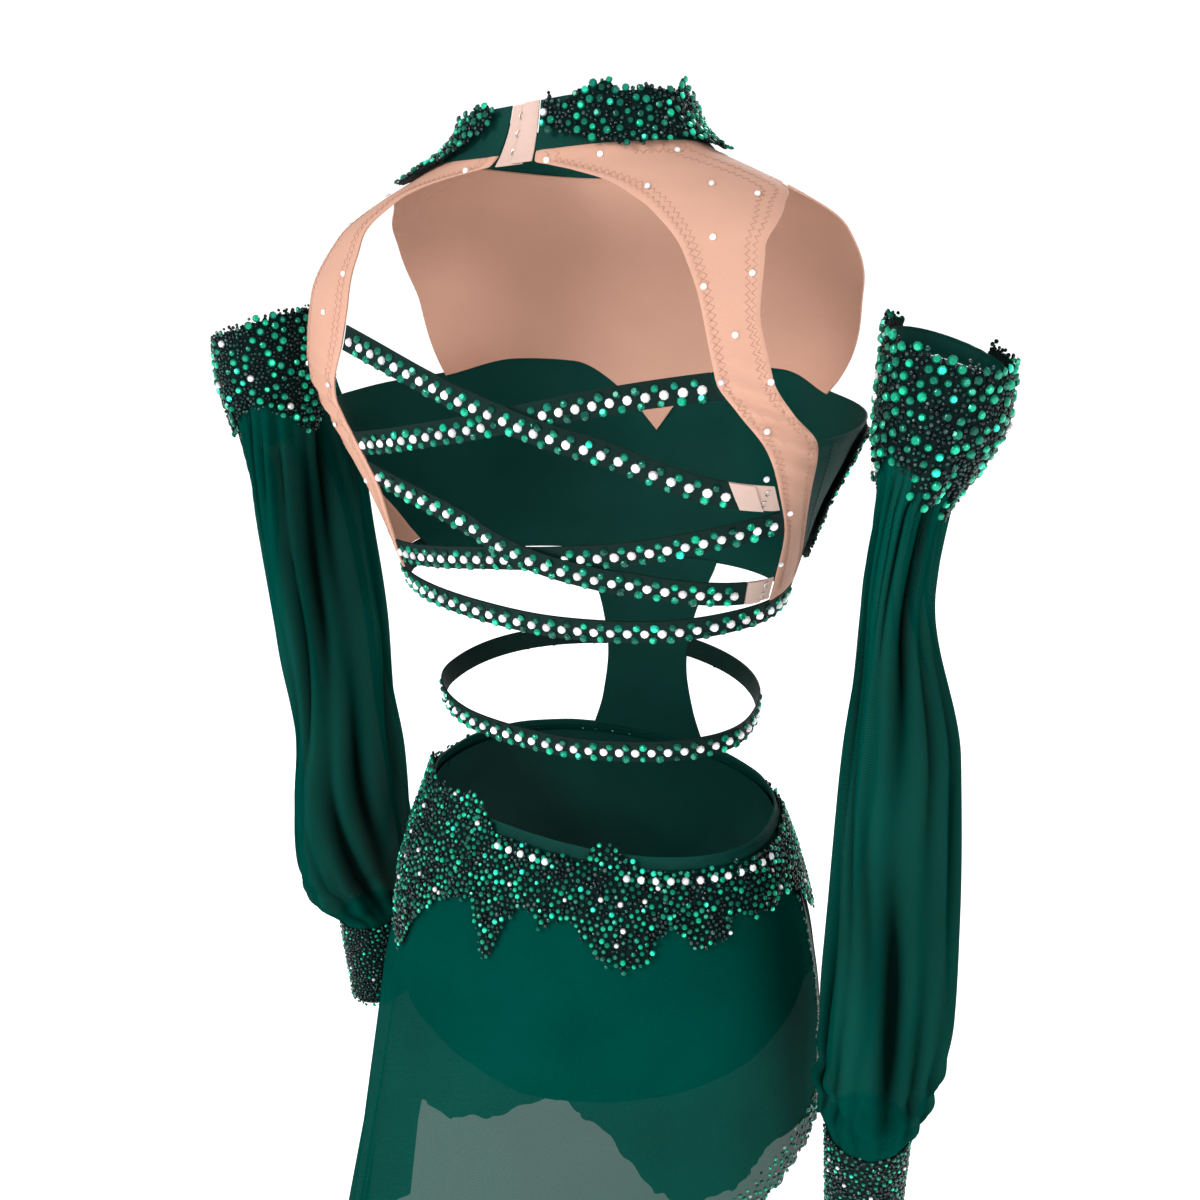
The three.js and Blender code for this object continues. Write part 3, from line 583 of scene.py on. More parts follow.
def sew_on(name, pattern, places, outs, sizes, tints, material, lean=0.16, spin=None,
           rim=0.3):
    """One object with a copy of the pattern at each place. Each copy's colour carries a painted shade, darker
    at its foot and brighter at its top, and rim is how bright the foot is next to the top.
    """
    shape, faces = pattern
    first, second, out = frames(outs, lean, spin)
    local = shape[None] * np.asarray(sizes)[:, None, None]
    points = (places[:, None] + local[..., :1] * first[:, None] + local[..., 1:2] * second[:, None]
              + local[..., 2:] * out[:, None])
    index = faces[None] + (np.arange(len(places)) * len(shape))[:, None, None]
    made = new_object(name, points.reshape(-1, 3), index.reshape(-1, 3), material, smooth_faces=False)
    # painted shade and highlight: each copy's points are darker towards its foot and brightest at its top
    top = mix(rim, 1.0, shape[:, 2] / shape[:, 2].max())
    shade = np.ones((len(tints), len(shape), 4))
    shade[..., :3] = tints[:, None] * top[None, :, None]
    made.data.color_attributes.new("tint_and_rim_shade", "FLOAT_COLOR", "POINT").data.foreach_set("color", shade.ravel())
    return made


BEAD_CELL = 6.0  # more than the radii of any two beads together


def pack(points, radius, taken):
    """The numbers of the points that fit; taken maps a cell of space to its (point, radius) pairs."""
    kept = []
    for number, point in enumerate(points):
        key = np.floor(point / BEAD_CELL).astype(int)
        near = [item for dx in (-1, 0, 1) for dy in (-1, 0, 1) for dz in (-1, 0, 1)
                for item in taken.get((key[0] + dx, key[1] + dy, key[2] + dz), ())]
        x, y, z = point
        if all((x - a)**2 + (y - b)**2 + (z - c)**2 >= (radius + r)**2 for (a, b, c), r in near):
            taken.setdefault(tuple(key), []).append(((x, y, z), radius))
            kept.append(number)
    return np.array(kept, int)


EMERALD = [(0.004, 0.42, 0.24), (0.0, 0.20, 0.125), (0.0, 0.09, 0.06), (0.02, 0.85, 0.55)]
NIGHT = [(0.0, 0.007, 0.008), (0.0, 0.024, 0.021), (0.0, 0.060, 0.046), (0.05, 0.10, 0.09)]
CRYSTAL = [(0.95, 0.95, 0.95), (0.95, 0.84, 0.90), (0.86, 0.92, 0.97)]
PALE_SHARE = 0.03
STONE_LIFT = 0.7


def tints_from(palette, weights, count):
    picked = chance.choice(len(palette), count, p=weights)
    return np.array(palette)[picked] * chance.uniform(0.65, 1.25, (count, 1))


def bead_work(name, surface, place, tries, stones=(3.7, 2.05), beads=1.3, chips=0.95, bright=1.0,
              glitter=(0.2, 0.35, 0.37, 0.08)):
    """Stones, beads and chips over a patch of lace. The stones keep to waves of open ground, wider when
    bright is high, and a few are pale."""
    taken = {}
    made = []
    for kind, pattern, size, spacing, palette, weights, material in (
        ("stones", stone, stones[0], stones[1], EMERALD, glitter, cut_glass),
        ("beads", bead, beads * 2, beads * 0.93, NIGHT, (0.36, 0.34, 0.2, 0.1), glass_bead),
        ("chips", chip, chips * 2.2, chips * 0.92, NIGHT, (0.4, 0.3, 0.2, 0.1), glass_bead),
    ):
        s = chance.uniform(-0.008, 1.008, tries)
        t = chance.uniform(-0.025, 1.025, tries)
        angle, height, lift = place(s, t)
        points, outs = lifted(surface, angle, height, lift)
        if kind == "stones":
            x, y, z = points.T
            wave = np.sin(x * 0.21 + 2 * np.sin(z * 0.11)) + np.sin(y * 0.27)
            open_ground = wave + chance.normal(0, 0.5, tries) > -0.5 * bright
            points, outs = points[open_ground], outs[open_ground]
        kept = pack(points, spacing, taken)
        sizes = size * chance.uniform(0.8, 1.15, len(kept))
        tints = tints_from(palette, weights, len(kept))
        if kind == "stones":
            pale = chance.uniform(size=len(kept)) < PALE_SHARE
            tints[pale] = (0.8, 0.85, 0.85)
            points = points + outs * STONE_LIFT
        made.append(sew_on(f"{name}_{kind}", pattern, points[kept], outs[kept], sizes, tints, material))
    print(name, [len(part.data.polygons) for part in made])
    return made


def threads(name, paths, width, material):
    """Round threads along rows of points, as four-sided tubes in one object."""
    points, faces, count = [], [], 0
    for path, outs in paths:
        along = unit(np.gradient(path, axis=0))
        side = unit(np.cross(along, outs)) * width / 2
        up = unit(np.cross(side, along)) * width / 2
        ring = np.stack([path + side, path - up, path - side, path + up], 1)
        rows = len(path)
        j, k = np.meshgrid(np.arange(rows - 1), np.arange(4), indexing="ij")
        a, b = j * 4 + k, j * 4 + (k + 1) % 4
        faces.append(np.stack([a, b, b + 4, a + 4], -1).reshape(-1, 4) + count)
        ends = np.array([[3, 2, 1, 0], [rows * 4 - 4, rows * 4 - 3, rows * 4 - 2, rows * 4 - 1]]) + count
        faces.append(ends)
        points.append(ring.reshape(-1, 3))
        count += rows * 4
    made = new_object(name, np.concatenate(points), np.concatenate(faces), material)
    return made


print("sewing helpers ready")

# %% [markdown]
# ## Layers
#
# Cloth lies on cloth, so each layer has its own distance from the figure. A lift is where the outer side of
# a layer is. Edges that are sewn together stop just short of each other.

# %% Layers
UNDER_LAYER = 2.0
LACE_ON_CLOTH = 5.2
SKIRT_LAYER = 5.3
LACE_ON_SKIRT = 8.1
TUCK_REACH = 2.2  # how far an edge reaches under its neighbour
TUCK_DEPTH = 1.2  # how much nearer the body it lies there

# %% [markdown]
# ## Collar
#
# The high collar is a straight band of stretch satin. It follows the neck, a little higher on the wearer's
# right, and stops at the closure behind. Both its long edges are turned and stitched, which shows as a
# slight roll, so the lift swells near the edges.

# %% Collar band
COLLAR_LEVEL = 2
COLLAR_TILT = 3.5
COLLAR_FRONT_DROP = 16
COLLAR_HEIGHT = 27
CLOSURE_LEFT = 58
CLOSURE_RIGHT = 88
TAPE_OVERLAP = 13
TAPE_FOOT = -6


def collar_edge(angle):
    towards_front = (1 - sine(angle)) / 2
    return COLLAR_LEVEL - COLLAR_TILT * cosine(angle) - COLLAR_FRONT_DROP * towards_front**3


def rolled(t, roll=0.5, width=0.12):
    """Extra lift near the two edges of a band, t running across it."""
    return roll * np.exp(-(np.minimum(t, 1 - t) / width - 0.5)**2 * 4)


def collar_place(s, t):
    angle = mix(CLOSURE_RIGHT + 1, CLOSURE_LEFT + 359, s)
    pull = 0.5 * sine(angle * 7 + t * 60) * rise(0, 40, np.minimum(angle - 89, 417 - angle))
    return angle, collar_edge(angle) + COLLAR_HEIGHT * (1 - t), UNDER_LAYER + rolled(t) + pull * 0.6


cloth("collar_band", figure, 120, 10, collar_place, satin)


def tape_place(first, last, lift):
    def place(s, t):
        angle = mix(first, last, s)
        return angle, collar_edge(angle) + mix(COLLAR_HEIGHT, TAPE_FOOT, t), lift + rolled(t, 0.25)
    return place


for name, first, last, lift in (
    ("collar_eye_tape", CLOSURE_LEFT, CLOSURE_LEFT + TAPE_OVERLAP + 8, 1.4),
    ("collar_hook_tape", CLOSURE_RIGHT - TAPE_OVERLAP - 4, CLOSURE_RIGHT, 2.9),
):
    cloth(name, figure, 24, 20, tape_place(first, last, lift), tape_cloth, 0.7)
print("collar:", sheets["collar_band"])

# %% [markdown]
# ## Beaded lace on the collar
#
# Each lace motif has a ground of dark lace with a wavy rim, and then stones, beads and chips. The ground is
# a cloth sheet like the others, thin at its rim and swollen where the beadwork is.


# %% Lace helper
RIM_WAVES = ((1.0, 0.6, 0.0), (1.7, 0.5, 1.0), (2.9, 0.4, 2.3))  # rate, size, start


def lace(name, surface, level, upper, lower, first, last, across, down, tries, scallop, **work):
    """A lace ground between two edges, and its beadwork. scallop is the rim's wave and its pitch."""
    depth, pitch = scallop

    def place(s, t):
        angle = mix(first, last, s)
        wave = depth * sum(
            size * np.sin(2 * np.pi * angle * rate / pitch + start) for rate, size, start in RIM_WAVES)
        top, foot = upper(angle) + wave * 0.7, lower(angle) - wave
        swell = 0.7 * np.sin(np.pi * np.clip(t, 0, 1))**0.5
        return angle, mix(top, foot, t), level + 0.5 + swell

    cloth(name, surface, across, down, place, lace_ground, 0.9)
    return bead_work(name, surface, place, tries, **work)


collar_right_top = line(
    [(96, 27), (101, 30), (107, 25), (118, 27), (126, 31), (137, 35), (146, 36), (154, 30), (165, 32),
     (178, 30), (190, 38), (198, 30), (204, 28), (236, 20)])
collar_right_foot = line(
    [(96, 15), (110, 11), (125, 8), (140, 4), (150, 2), (170, 4), (182, 0), (196, -3), (215, 4), (236, 8)])
collar_left_top = line([(-56, 12), (-30, 19), (0, 20), (16, 20), (34, 27), (44, 25)])
collar_left_foot = line([(-56, -8), (-34, -9), (-8, -16), (4, -17), (20, -3), (34, 9), (44, 17)])
lace("collar_applique_right", figure, LACE_ON_CLOTH, collar_right_top, collar_right_foot, 96, 236, 110, 12,
     5200, (1.5, 9.0), stones=(4.6, 2.6), glitter=(0.3, 0.4, 0.26, 0.04))
lace("collar_applique_left", figure, LACE_ON_CLOTH + 0.6, collar_left_top, collar_left_foot, -56, 44, 80, 10,
     3600, (1.5, 9.0), stones=(4.4, 2.5), glitter=(0.3, 0.4, 0.26, 0.04))

# %% [markdown]
# ## Nude yoke
#
# The yoke is power mesh in the colour of the skin. It runs from the collar over the shoulders and leaves a
# keyhole at the back and an opening at each arm. Its tables give, for each height, how far round the body
# its two edges lie, so every row of the grid runs from edge to edge.

# %% Back yoke
YOKE_RIGHT = [
    (0, 91, 0), (-5, 90, 0), (-8, 76, 0), (-11, 62, 0), (-16, 47, 0), (-22, 40, 1), (-31, 35.5, 9),
    (-52, 32.5, 19), (-91, 32.5, 24), (-117, 32, 23.5), (-133, 29, 21), (-155, 23.5, 14.5),
    (-180, 19, 11.5), (-216, 12, 4), (-237, 10, -3), (-262, 8.5, -9),
]
YOKE_LEFT = [
    (0, 56, 0), (-5, 54, 0), (-8, 43, 0), (-11, 32, 0), (-16, 23, 0), (-22, 20, 1), (-31, 20, 5),
    (-56, 25, 9), (-85, 29, 11.5), (-103, 29.5, 13), (-142, 26.5, 14), (-173, 29.5, 13.5),
    (-195, 31, 12.5), (-230, 27, 4), (-253, 23.5, -1), (-262, 23, -4),
]
YOKE_ROWS = [
    0, -3, -6, -9, -12, -17, -23, -32, -44, -60, -80, -103, -125, -142, -160, -180, -200, -220, -240,
]
YOKE_FOOT = -256
NECK_ZONE = 24
FRONT_ARMHOLE = [(0, 0), (-22, -1), (-31, -6), (-57, -14), (-96, -20), (-150, -22)]
STRAP_WIDTH = 15
UNDERBUST = [(-8, -262), (27, -266), (60, -269.5), (100, -272.5), (140, -271), (166, -266), (190, -264)]
YOKE_PLEAT = 1.9
YOKE_PLEAT_HEIGHT = -142

yoke_curve = {"right": smooth(YOKE_RIGHT), "left": smooth(YOKE_LEFT)}
front_armhole = line(FRONT_ARMHOLE)
underbust = line(UNDERBUST)
row_depth = line([(n / len(YOKE_ROWS), row) for n, row in enumerate([*YOKE_ROWS, YOKE_FOOT])])


def from_side(side, degrees):
    return 180 - degrees if side == "right" else degrees


def tucked_in(t, rate=60):
    """1 on an upper edge that lies under its neighbour, and 0 a little below it."""
    return np.exp(-t * rate)


def near_neck(angle, row):
    """Rows near the neck follow the collar's lower edge."""
    return row + (collar_edge(angle) - 0.6) * np.clip(1 + row / NECK_ZONE, 0, 1)


def yoke_place(side):
    def place(s, t):
        row = row_depth(t)
        edges = yoke_curve[side](row)
        keyhole, armhole = edges[..., 0] - 0.15, edges[..., 1] + 0.15
        inner, outer = from_side(side, keyhole), from_side(side, armhole)
        angle = mix(np.minimum(inner, outer), np.maximum(inner, outer), s)
        foot = underbust(angle) + STRAP_WIDTH / 2 + 0.4
        height = np.where(t > 1 - 1e-6, foot, np.maximum(near_neck(angle, row), foot))
        rim = np.exp(-(np.minimum(s, 1 - s) * 9 - 0.6)**2 * 3) * 0.45
        tucked = tucked_in(t)
        pit = np.exp(-((row - YOKE_PLEAT_HEIGHT) / 26)**2)
        creases = YOKE_PLEAT * pit * np.sin(row * 0.42 + s * 5) * np.sin(np.pi * s)**0.5
        return angle, height + TUCK_REACH * tucked, UNDER_LAYER + rim + creases - TUCK_DEPTH * tucked
    return place


for side in ("right", "left"):
    cloth(f"yoke_back_{side}", figure, 32, 110, yoke_place(side), skin_mesh)

# %% [markdown]
# The front of the yoke fills the neckline down to the bodice. The bodice top is a sweetheart line: it
# climbs from under each arm to the middle of the cup and drops to the centre.

# %% Front yoke
BODICE_TOP = [(-22, -143), (-42, -134), (-60, -136), (-78, -158), (-90, -186)]
BODICE_SIDE_TOP = -152
UNDER_ARM = 0.25
BODICE_BOTTOM_SIDE = -274
BODICE_BOTTOM_FRONT = -284
bodice_top = line(BODICE_TOP)


def bodice_top_at(share):
    """Place on the bodice's top edge; 0 is the right armhole and 1 the left one."""
    towards_centre = 1 - np.abs(2 * share - 1)
    from_armhole = mix(BODICE_TOP[0][0], -90, towards_centre)
    return np.where(share < 0.5, 180 - from_armhole, 360 + from_armhole), bodice_top(from_armhole)


def front_yoke_place(s, t):
    """Its neck edge is tucked under the collar and its foot under the bodice."""
    _, foot = bodice_top_at(s)
    row = (foot - 2.5) * t**1.3
    armhole = front_armhole(row) - 0.2
    angle = mix(180 - armhole, 360 + armhole, s)
    tucked = tucked_in(t)
    lift = UNDER_LAYER - TUCK_DEPTH * tucked - TUCK_DEPTH * rise(0.96, 0.99, t)
    return angle, near_neck(angle, row) + TUCK_REACH * tucked, lift


cloth("yoke_front", figure, 96, 42, front_yoke_place, skin_mesh)
print("yoke:", sheets["yoke_front"])

# %% [markdown]
# The edges of the yoke are turned and sewn with a three-step zigzag, the usual stretch stitch. It is real
# thread here: a path that runs along each edge and swings from side to side. Small crystals are set over
# the yoke by hand, so their places are a short table of angles and heights.

# %% Yoke stitches and crystals
STITCH_SWING = 1.4
STITCH_LENGTH = 4.4
YOKE_CRYSTAL_SIZE = 3.9
YOKE_CRYSTALS = [
    (135, -2), (165, -2), (147, -20), (162, -20), (168, -26), (154, -46), (157, -64), (149, -70),
    (152, -94), (149, -118), (156, -118), (156, -144), (158, -172), (166, -196), (160, -210), (170, -232),
    (8, -21), (9, -38), (24, -65), (11, -68), (22, -88), (14, -123), (25, -132), (20, -160), (24, -196),
    (8, -216), (16, -238), (100, -4), (40, -8), (180, -22), (0, -14),
    (196, -30), (214, -46), (236, -38), (258, -50), (282, -50), (304, -38), (326, -46), (344, -30),
    (204, -74), (226, -82), (250, -96), (270, -84), (290, -96), (314, -82), (336, -74), (214, -108),
    (326, -108), (240, -120), (300, -120), (260, -140), (280, -140), (270, -116),
]


def walk(points, step):
    """Places along a row of points at an even step, as fractional numbers of the row."""
    reach = np.concatenate([[0], np.cumsum(np.linalg.norm(np.diff(points, axis=0), axis=-1))])
    return np.interp(np.arange(step / 2, reach[-1], step), reach, np.arange(len(points)))


def zigzag(surface, angle, height, lift, swing=STITCH_SWING, length=STITCH_LENGTH):
    """A zigzag thread along a line on a surface."""
    points, outs = lifted(surface, angle, height, lift)
    at = walk(points, length / 6)
    pick = [np.interp(at, np.arange(len(points)), column) for column in points.T]
    path = np.stack(pick, -1)
    out = unit(np.stack([np.interp(at, np.arange(len(points)), column) for column in outs.T], -1))
    sideways = unit(np.cross(np.gradient(path, axis=0), out))
    phase = np.abs((np.arange(len(path)) % 6) / 3 - 1) * 2 - 1
    return path + sideways * (phase * swing)[:, None], out


def stitch(place, s, t, above, **shape):
    """A zigzag on a sheet along the line (s, t), a little above the cloth."""
    angle, height, lift = place(*map(np.array, np.broadcast_arrays(s, t)))
    return zigzag(figure, angle, height, lift + above, **shape)


rows = np.linspace(0.02, 0.985, 420)
paths = [stitch(yoke_place(side), inset, rows, 0.1) for side in ("right", "left")
         for inset in (0.11, 0.2, 0.8, 0.89)]
neck = np.linspace(-15, 195, 500) + 165
paths.append(zigzag(figure, neck, near_neck(neck, -5.0), np.full_like(neck, UNDER_LAYER + 0.2)))
share = np.linspace(0.03, 0.97, 500)
top_angle, top_height = bodice_top_at(share)
paths.append(zigzag(figure, top_angle, top_height + 5, np.full_like(share, UNDER_LAYER + 0.2)))
threads("yoke_stitching", paths, 0.26, thread)
angle, height = np.array(YOKE_CRYSTALS, float).T
places, outs = lifted(figure, angle, height, np.full(len(angle), UNDER_LAYER + 0.4))
sew_on("yoke_crystals", stone, places, outs, np.full(len(angle), YOKE_CRYSTAL_SIZE),
       tints_from(CRYSTAL, (0.6, 0.2, 0.2), len(angle)), clear_crystal, 0.05, rim=0.55)
print("stitch paths:", len(paths))

# %% [markdown]
# ## Bodice
#
# Two satin halves meet at the centre front. Each is domed by its cup, and its top edge meets the yoke. A
# princess seam would cross the cup, so a line of stitches follows it there.


# %% Cups
CUP_LACE_SPAN = (1 / 12, 11 / 12)


def cup_place(side, lift=UNDER_LAYER):
    sign = -1 if side == "right" else 1

    def side_edge(height):
        edge = yoke_curve[side](height)[..., 1] + 0.1
        return 180 - edge if side == "right" else 360 + edge

    def place(s, t):
        out = s if side == "right" else 1 - s  # 0 at the side edge and 1 at the centre front
        along = np.maximum(0, (out - UNDER_ARM) / (1 - UNDER_ARM)) / 2
        top_angle, top_height = bodice_top_at(along if side == "right" else 1 - along)
        under = np.minimum(out / UNDER_ARM, 1)
        corner, foot = side_edge(np.array(BODICE_SIDE_TOP)), side_edge(np.array(BODICE_BOTTOM_SIDE))
        bottom = mix(BODICE_BOTTOM_SIDE, BODICE_BOTTOM_FRONT, out)
        height = mix(mix(BODICE_SIDE_TOP, top_height, under), bottom, t)
        straight = mix(mix(corner, top_angle, under), mix(foot, 270, out), t)
        bend = side_edge(mix(BODICE_SIDE_TOP, BODICE_BOTTOM_SIDE, t)) - mix(corner, foot, t)
        angle = straight + bend * (1 - out)**2 - sign * 0.1 * out
        return angle, height, lift + rolled(t, 0.4, 0.06)
    return place


def cup_lace_place(side):
    cup = cup_place(side, LACE_ON_CLOTH)

    def place(s, t):
        out = s if side == "right" else 1 - s
        lobes = 0.1 * np.abs(np.sin(4 * np.pi * s)) + 0.02 * np.abs(np.sin(30 * np.pi * s))
        down = mix(0.04, 0.72 - 0.3 * out + lobes, t)
        angle, height, lift = cup(mix(*CUP_LACE_SPAN, s), down)
        return angle, height, lift + 0.5 + 0.6 * np.sin(np.pi * t)**0.5
    return place


seams = []
for side in ("right", "left"):
    cloth(f"cup_{side}", figure, 50, 36, cup_place(side), satin)
    name = f"bodice_applique_{side}"
    cloth(name, figure, 60, 20, cup_lace_place(side), lace_ground, 0.9)
    bead_work(name, figure, cup_lace_place(side), 4200)
    t = np.linspace(0.02, 0.98, 120)
    for share in (0.02, 0.5, 0.97):
        seams.append(stitch(cup_place(side), share, t, 0.1, swing=0.7, length=3.0))
threads("bodice_stitching", seams, 0.3, green_thread)
print("cup:", sheets["cup_right"])

# %% [markdown]
# ## Straps
#
# Six straps of stretch satin cross the back and the waist. A strap is a narrow sheet along a curved centre
# line, and it lifts where it passes over another. A row of crystals runs along it at an even step, with
# green stones above and below each gap and a plain edge on top.

# %% Strap cloth
UPPER_OVER = [(29, -101), (60, -127), (90, -143), (125, -159), (152, -181), (162, -186)]
UPPER_UNDER = [(26, -170), (55, -156), (90, -143), (117, -133), (148, -120)]
LOWER_OVER = [(31, -187), (60, -204), (95, -226), (126, -236), (164, -248), (173, -249)]
LOWER_UNDER = [(24, -244), (70, -231), (107, -224.5), (131, -218.5), (163, -202.5)]
WAIST = [(-68, -348), (0, -355), (40, -363), (95, -363.5), (143, -360), (180, -356), (248, -348)]
UPPER_CROSSING = 90
LOWER_CROSSING = 101
STRAP_HUMP = 2.2
CLOSURE_LENGTH = 8
FRONT_PANEL = [(-284, 30), (-330, 22), (-360, 20), (-400, 23), (-430, 28)]

upper_over, upper_under, lower_over, lower_under, waist = map(
    line, (UPPER_OVER, UPPER_UNDER, LOWER_OVER, LOWER_UNDER, WAIST))
panel_half = line(FRONT_PANEL)


def left_keyhole(height):
    return yoke_curve["left"](height)[..., 0] + 0.4


def right_keyhole(height):
    return 180 - yoke_curve["right"](height)[..., 0] - 0.4


def strap_place(centre, first, last, lift=lambda angle: 0, thickness=UNDER_LAYER):
    """A strap between two edges, each given as the angle where it lies at a height."""
    def place(s, t):
        off = (0.5 - t) * STRAP_WIDTH
        ends = []
        for edge in (first, last):
            angle = edge(np.full_like(off, -200.0))
            for _ in range(6):
                angle = edge(centre(angle) + off)
            ends.append(angle)
        angle = mix(*ends, s)
        return angle, centre(angle) + off, thickness + lift(angle) + rolled(t, 0.35, 0.1)
    return place


def humped(crossing):
    return lambda angle: STRAP_HUMP * rise(0, 1, (32 - np.abs(angle - crossing)) / 9)


def closure_edge(height):
    return right_keyhole(height) - CLOSURE_LENGTH


def left_bodice(height):
    return yoke_curve["left"](height)[..., 1] + 0.3


def right_bodice(height):
    return 180 - yoke_curve["right"](height)[..., 1] - 0.3


strap_places = {
    "strap_upper_over": strap_place(upper_over, left_keyhole, closure_edge, humped(UPPER_CROSSING)),
    "strap_upper_under": strap_place(upper_under, left_keyhole, right_keyhole),
    "strap_lower_over": strap_place(lower_over, left_keyhole, closure_edge, humped(LOWER_CROSSING)),
    "strap_lower_under": strap_place(lower_under, left_keyhole, right_keyhole),
    "strap_underbust": strap_place(underbust, left_bodice, right_bodice),
    "strap_waist": strap_place(
        waist, lambda height: -90 + panel_half(height) + 0.2, lambda height: 270 - panel_half(height) - 0.2),
}
for name, place in strap_places.items():
    cloth(name, figure, 240 if name == "strap_waist" else 150, 8, place, strap_satin, 1.3)
print("straps:", {name: sheets[name] for name in strap_places})

# %% Strap stones
CRYSTAL_STEP = 10.6
CRYSTAL_SIZE = 5.8
GREEN_SIZE = 5.6
CRYSTAL_ROW = 0.58  # share of the strap's width, from its top edge
GREEN_ROWS = (0.31, 0.87)
CROSSED = {"strap_upper_under": UPPER_CROSSING, "strap_lower_under": LOWER_CROSSING}
CROSSING_CLEAR = 8.5


def on_strap(name, at, row):
    """Places at shares of a strap's length, except where another strap lies over it."""
    angle, height, lift = strap_places[name](at, np.full_like(at, row))
    clear = np.abs(angle - CROSSED.get(name, np.inf)) > CROSSING_CLEAR
    return lifted(figure, angle[clear], height[clear], lift[clear])


white, green = [], []
s = np.linspace(0, 1, 600)
for name, place in strap_places.items():
    points, _ = lifted(figure, *place(s, np.full_like(s, CRYSTAL_ROW)))
    length = np.linalg.norm(np.diff(points, axis=0), axis=-1).sum()
    steps = walk(points, CRYSTAL_STEP) / (len(s) - 1)
    white.append(on_strap(name, steps, CRYSTAL_ROW))
    green += [on_strap(name, steps[:-1] + CRYSTAL_STEP / 2 / length, row) for row in GREEN_ROWS]
places, outs = map(np.concatenate, zip(*white))
sew_on("strap_crystals", stone, places, outs, CRYSTAL_SIZE * chance.uniform(0.96, 1.04, len(places)),
       tints_from(CRYSTAL, (0.6, 0.2, 0.2), len(places)), clear_crystal, 0.05, rim=0.6)
green_places, green_outs = map(np.concatenate, zip(*green))
sew_on("strap_green_stones", stone, green_places, green_outs,
       GREEN_SIZE * chance.uniform(0.85, 1.1, len(green_places)),
       tints_from(EMERALD, (0.2, 0.5, 0.29, 0.01), len(green_places)), cut_glass, 0.2, rim=0.5)
print("strap crystals:", len(places))

# %% [markdown]
# ## Hook closures
#
# Two straps and the collar close with skin-coloured hook-and-eye tape. The hook side lies over the eye
# side. An eye is a bent wire, so it is a torus primitive cut in half and copied.

# %% Strap closures
HOOK_OVERLAP = 3.5
EYE_SIZE = 4.0


def eye_edge(height):
    return closure_edge(height) + 0.2


def hook_edge(height):
    return right_keyhole(height) - HOOK_OVERLAP


for name, centre in (("upper", upper_over), ("lower", lower_over)):
    for kind, edge, above in (("eye", right_keyhole, 1.3), ("hook", hook_edge, 2.5)):
        cloth(f"{kind}_tape_{name}", figure, 20, 12, strap_place(centre, eye_edge, edge, thickness=above),
              tape_cloth, 0.6)

made = start_primitive(
    bpy.ops.mesh.primitive_torus_add, major_radius=0.5, minor_radius=0.09, major_segments=14,
    minor_segments=5)
pick_faces(made, lambda face: True)
bpy.ops.mesh.bisect(plane_co=(0, -0.15, 0), plane_no=(0, 1, 0), clear_inner=True, use_fill=True)
bpy.ops.object.mode_set(mode="OBJECT")
eye = as_pattern(made)
spots = []
for row in (0.2, 0.5, 0.8):
    angle = CLOSURE_RIGHT - TAPE_OVERLAP - 5.5
    spots.append((angle, collar_edge(angle) + mix(COLLAR_HEIGHT, TAPE_FOOT, row), 1.9))
for centre in (upper_over, lower_over):
    edge = hook_edge(centre(165.0 + np.zeros(1)))[0] + 1.2
    for off in (-3.4, 3.4):
        spots.append((edge, centre(edge) + off, 1.8))
angle, height, lift = np.array(spots, float).T
places, outs = lifted(figure, angle, height, lift)
sew_on("hook_eyes", eye, places, outs, np.full(len(places), EYE_SIZE), np.ones((len(places), 3)), wire,
       lean=0, spin=1.6)

# %% [markdown]
# ## Centre front panel, brief and waistband
#
# The front of the bodice is joined to the hips by a narrow panel. The brief is two satin halves with
# zigzagged leg edges, and a gusset runs under the body between them. The waistband is one closed band.

# %% Panel, waistband and brief
WAIST_LEVEL = -429
WAIST_TILT = 3
WAISTBAND_HEIGHT = 8
BRIEF_LEG = [(0, -545), (30, -574), (55, -588), (72, -596), (90, -602)]
CROTCH_DIP = 16
GUSSET_ANGLE = 13
GUSSET_WAIST = 0.72


def waist_top(angle):
    return WAIST_LEVEL + WAIST_TILT * cosine(angle)


def waist_foot(angle):
    return waist_top(angle) - WAISTBAND_HEIGHT - 0.6


def panel_place(s, t):
    top = BODICE_BOTTOM_FRONT - 0.6
    foot = WAIST_LEVEL + 0.3
    half = panel_half(mix(top, foot, t))
    angle = mix(270 - half, 270 + half, s)
    top_here = top + (BODICE_BOTTOM_SIDE - BODICE_BOTTOM_FRONT) * np.abs(angle - 270) / 82
    tucked = tucked_in(t, 40)  # its top lies under the bodice
    height = mix(top_here, foot + WAIST_TILT * cosine(angle), t) + TUCK_REACH * tucked
    return angle, height, UNDER_LAYER + rolled(s, 0.35, 0.08) - TUCK_DEPTH * tucked


cloth("front_panel", figure, 28, 36, panel_place, satin)


def waistband_place(s, t):
    angle = s * 360
    pull = 0.25 * sine(angle * 19)
    lift = SKIRT_LAYER + rolled(t, 0.5, 0.3) + pull * (1 - t)
    return angle, waist_top(angle) - WAISTBAND_HEIGHT * t, lift


cloth("waistband", figure, 240, 8, waistband_place, satin, 1.5, loop=True)
leg = line(BRIEF_LEG)


def brief_place(first):
    def place(s, t):
        angle = mix(first + 0.15, first + 179.85, s)
        foot = leg(90 - np.abs(angle - first - 90))
        drag = 0.35 * np.sin(angle * 0.35 + t * 4) * rise(0.1, 0.5, t)
        return angle, mix(waist_foot(angle), foot, t), UNDER_LAYER + rolled(t, 0.4, 0.05) * t + drag
    return place


